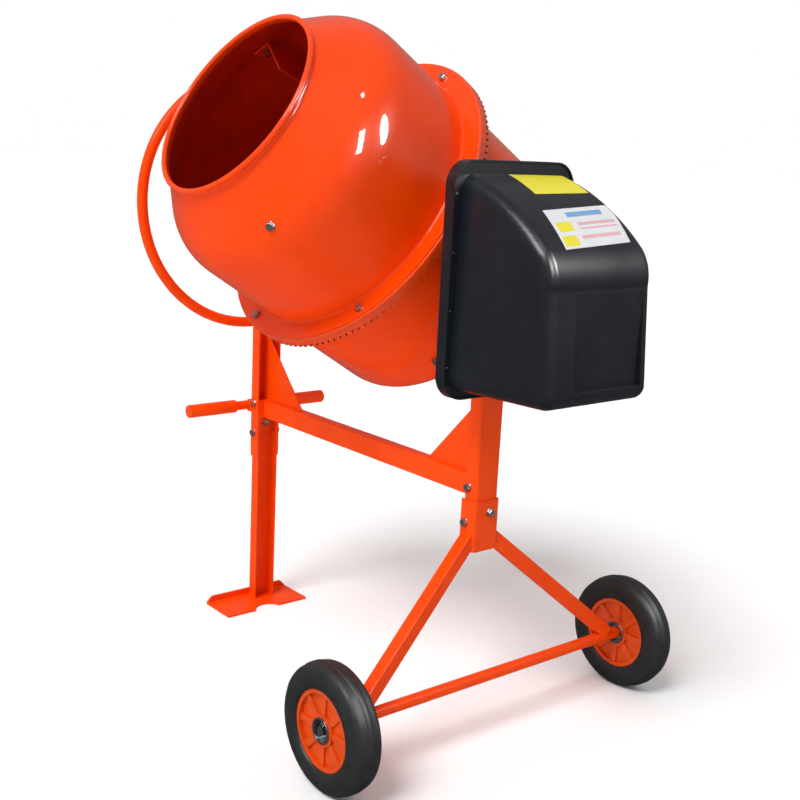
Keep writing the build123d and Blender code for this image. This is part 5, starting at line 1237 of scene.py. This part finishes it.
    def _bolts(self) -> None:
        """Set the flange bolts, the blades' bolts, the spindle's bolts and its nut."""
        turn = DRUM_PLACE.to_3x3() * (1 / MM)
        bolts = []
        flange_top = self.flange_level + self.wall
        for angle in self.bolt_angles:
            a = math.radians(angle)
            spot = DRUM_PLACE @ Vector((-self.bolt_circle * math.cos(a), -self.bolt_circle * math.sin(a),
                                        flange_top))
            bolts.append((spot, -DRUM_WAY, self.ring_web + 2 * self.wall))
        centre_radius = self.upper_radius - self.shoulder_blend
        centre_level = self.shoulder_level - self.shoulder_blend * math.tan(math.radians(21.5))
        lean = math.radians(self.blade_lean)
        for angle in self.blade_angles:
            a = math.radians(angle)
            out = turn @ Vector((-math.cos(a), -math.sin(a), 0))
            for radius, level, tilt in (
                (centre_radius + self.shoulder_blend * math.cos(lean),
                 centre_level + self.shoulder_blend * math.sin(lean), lean),
                (self.lower_radius, self.low_bolt, 0.0),
            ):
                spot = DRUM_PLACE @ Vector((-radius * math.cos(a), -radius * math.sin(a), level))
                bolts.append((spot, -(out * math.cos(tilt) + DRUM_WAY * math.sin(tilt)), self.wall + self.blade_grip))
        for angle in (45, 135, 225, 315):
            a = math.radians(angle)
            circle = self.spindle_circle
            spot = DRUM_PLACE @ Vector((circle * math.cos(a), circle * math.sin(a), self.bottom_level + self.wall))
            bolts.append((spot, -DRUM_WAY, self.wall + self.spindle_flange))
        bolt_set("zinc_drum_bolts", "drum", bolts, seed=11)
        corner = self.nut_flats / math.sqrt(3)
        low, top = (self.bottom_level - under for under in self.nut_ends)
        nut = revolve("nut", [(self.nut_bore, low), (corner - 1.5, low), (corner, low + 1), (corner, top - 1),
                              (corner - 1.5, top), (self.nut_bore, top)], DRUM_PLACE, steps=6, crease=20)
        finish(mesh_object("spindle_nut", merge([nut]), 20), ZINC, "drum", "drum_fasteners")


# ---------------------------------------------------------------- drive
class Drive:
    """Motor, belt, pulleys and pinion inside the housing."""

    def build(self) -> None:
        """Make the drive's pieces."""
        cad_piece("cut_pinion", BARE_CAST, "pinion", 0.4, "pinion")
        cad_piece("turned_pinion_shaft", TURNED_X, "pinion", 0.5, "pinion_shaft")
        cad_piece("cast_large_pulley", ALLOY, "pinion", 0.6, "large_pulley")
        cad_piece("turned_motor_pulley", TURNED_X, "rotor", 0.4, "motor_pulley")
        cad_piece("pressed_rotor_core", TURNED_X, "rotor", 0.4, "motor_rotor")
        cad_piece("rubber_belt", BELT, "frame", 0.3, "belt")
        cad_piece("pressed_motor_bracket", ZINC, "frame", 0.6, "motor_bracket")
        cad_piece("finned_motor_shell", ALLOY, "frame", 0.6, "motor_body")
        cad_piece("moulded_capacitor", PLASTIC, "frame", 0.4, "capacitor")


# ---------------------------------------------------------------- motor housing
@dataclass
class MotorHousing:
    """Moulded back plate and cover, with screws and two plain stickers."""

    screw_y: float = 131.0
    screw_x: float = 379.5
    plate_bottom: float = 621.0
    plate_height: float = 394.0
    screw_shares: tuple[float, ...] = (0.14, 0.38, 0.62, 0.86)
    screw_radius: float = 3.4
    film: float = 0.25
    glue: float = 0.02

    def build(self) -> None:
        """Make the housing's pieces."""
        cad_piece("moulded_back_plate", HOUSING, "frame", 0.8, "back_plate")
        self.cover = cad_piece("moulded_cover", HOUSING, "frame", 0.6, "motor_cover")
        self._screws()
        self._sticker("yellow_sticker", ((381.0, -20.0), (381.0, 109.0), (453.8, -28.9), (448.8, 102.2)),
                      YELLOW_FILM, [])
        blocks = [(BLUE_INK, 0.28, 0.82, 0.12, 0.26), (YELLOW_FILM, 0.05, 0.27, 0.38, 0.62),
                  (YELLOW_FILM, 0.03, 0.24, 0.72, 0.95), (RED_INK, 0.36, 0.94, 0.42, 0.5),
                  (RED_INK, 0.36, 0.94, 0.56, 0.6), (RED_INK, 0.32, 0.92, 0.74, 0.82)]
        self._sticker("white_sticker", ((495.7, -54.2), (482.1, 113.5), (565.2, -68.2), (556.3, 90.7)),
                      WHITE_FILM, blocks)

    def _screws(self) -> None:
        """Set the small pan-head screws down both sides."""
        radius, height = self.screw_radius, 2.4
        outline = rounded([(0, 0), (radius, 0), (radius, height), (1.3, height), (1.1, height - 1.1),
                           (0, height - 1.4)], {2: 1.3}, 5)
        pan = revolve("pan", [(r, -level) for r, level in outline], Matrix.Scale(MM, 4), steps=24)
        places = [(at(self.screw_x, side * self.screw_y, self.plate_bottom + self.plate_height * share),
                   Vector((-1, 0, 0))) for side in (-1, 1) for share in self.screw_shares]
        fasteners("pan_head_screws", BLACK_ZINC, "frame", [(pan, places)], "cover_screws", seed=31)

    def _sticker(self, name: str, corners: Sequence[tuple[float, float]], film: Finish,
                 prints: list[tuple[Finish, float, float, float, float]]) -> None:
        """Lay a thin film over the top of the cover.

        Args:
            name: The piece's name.
            corners: X and Y of its upper left, upper right, lower left and lower right.
            film: The film's finish.
            prints: Plain printed blocks: ink, then ends across and down, as shares.
        """
        above, below = [Vector(c) for c in corners[:2]], [Vector(c) for c in corners[2:]]
        cuts_u = sorted({0.0, 1.0, *(k / 24 for k in range(25)), *(v for p in prints for v in p[1:3])})
        cuts_v = sorted({0.0, 1.0, *(k / 12 for k in range(13)), *(v for p in prints for v in p[3:5])})
        surface = BVHTree.FromObject(self.cover, bpy.context.evaluated_depsgraph_get())
        build = bmesh.new()
        grid, under = [], []
        for v in cuts_v:
            rows = []
            for u in cuts_u:
                plan = above[0].lerp(above[1], u).lerp(below[0].lerp(below[1], u), v)
                start = at(plan.x, plan.y, 1100)
                spot, normal, _, _ = surface.ray_cast(start, Vector((0, 0, -1)))
                rows.append([build.verts.new(spot + normal * lift * MM) for lift in (self.film, self.glue)])
            grid.append([top for top, _ in rows])
            under.append([low for _, low in rows])
        inks = [film]
        for i in range(len(cuts_v) - 1):
            for j in range(len(cuts_u) - 1):
                u, v = (cuts_u[j] + cuts_u[j + 1]) / 2, (cuts_v[i] + cuts_v[i + 1]) / 2
                ink = next((p[0] for p in prints if p[1] < u < p[2] and p[3] < v < p[4]), film)
                if ink not in inks:
                    inks.append(ink)
                face = build.faces.new((grid[i][j], grid[i + 1][j], grid[i + 1][j + 1], grid[i][j + 1]))
                face.material_index = inks.index(ink)
                build.faces.new((under[i][j], under[i][j + 1], under[i + 1][j + 1], under[i + 1][j]))
        rim = [(0, j) for j in range(len(cuts_u))] + [(i, len(cuts_u) - 1) for i in range(1, len(cuts_v))]
        rim += [(len(cuts_v) - 1, j) for j in range(len(cuts_u) - 2, -1, -1)]
        rim += [(i, 0) for i in range(len(cuts_v) - 2, 0, -1)]
        for (a, b), (c, d) in zip(rim, rim[1:] + rim[:1]):
            build.faces.new((grid[a][b], grid[c][d], under[c][d], under[a][b]))
        piece = mesh_object(name, build)
        for ink in inks:
            piece.data.materials.append(ink.material())
        finish(piece, film, "frame", keep=True)


class Controls:
    """Switch box, push buttons and the power inlet."""

    def build(self) -> None:
        """Make the controls."""
        cad_piece("moulded_switch_box", PLASTIC, "frame", 0.6, "switch_body")
        cad_piece("green_push_button", GREEN, "start_button", 0.6, "start_button")
        cad_piece("red_push_button", RED, "stop_button", 0.6, "stop_button")
        cad_piece("moulded_power_inlet", PLASTIC, "frame", 0.6, "power_inlet")


def main() -> None:
    """Build the whole mixer, class by class."""
    for part in (Studio(), PressedFrame(), PushHandle(), RoadWheel("near", -1), RoadWheel("far", 1), Axle(),
                 Handwheel(), Yoke(), Drum(), Drive(), MotorHousing(), Controls()):
        part.build()


if __name__ == "__main__":
    main()
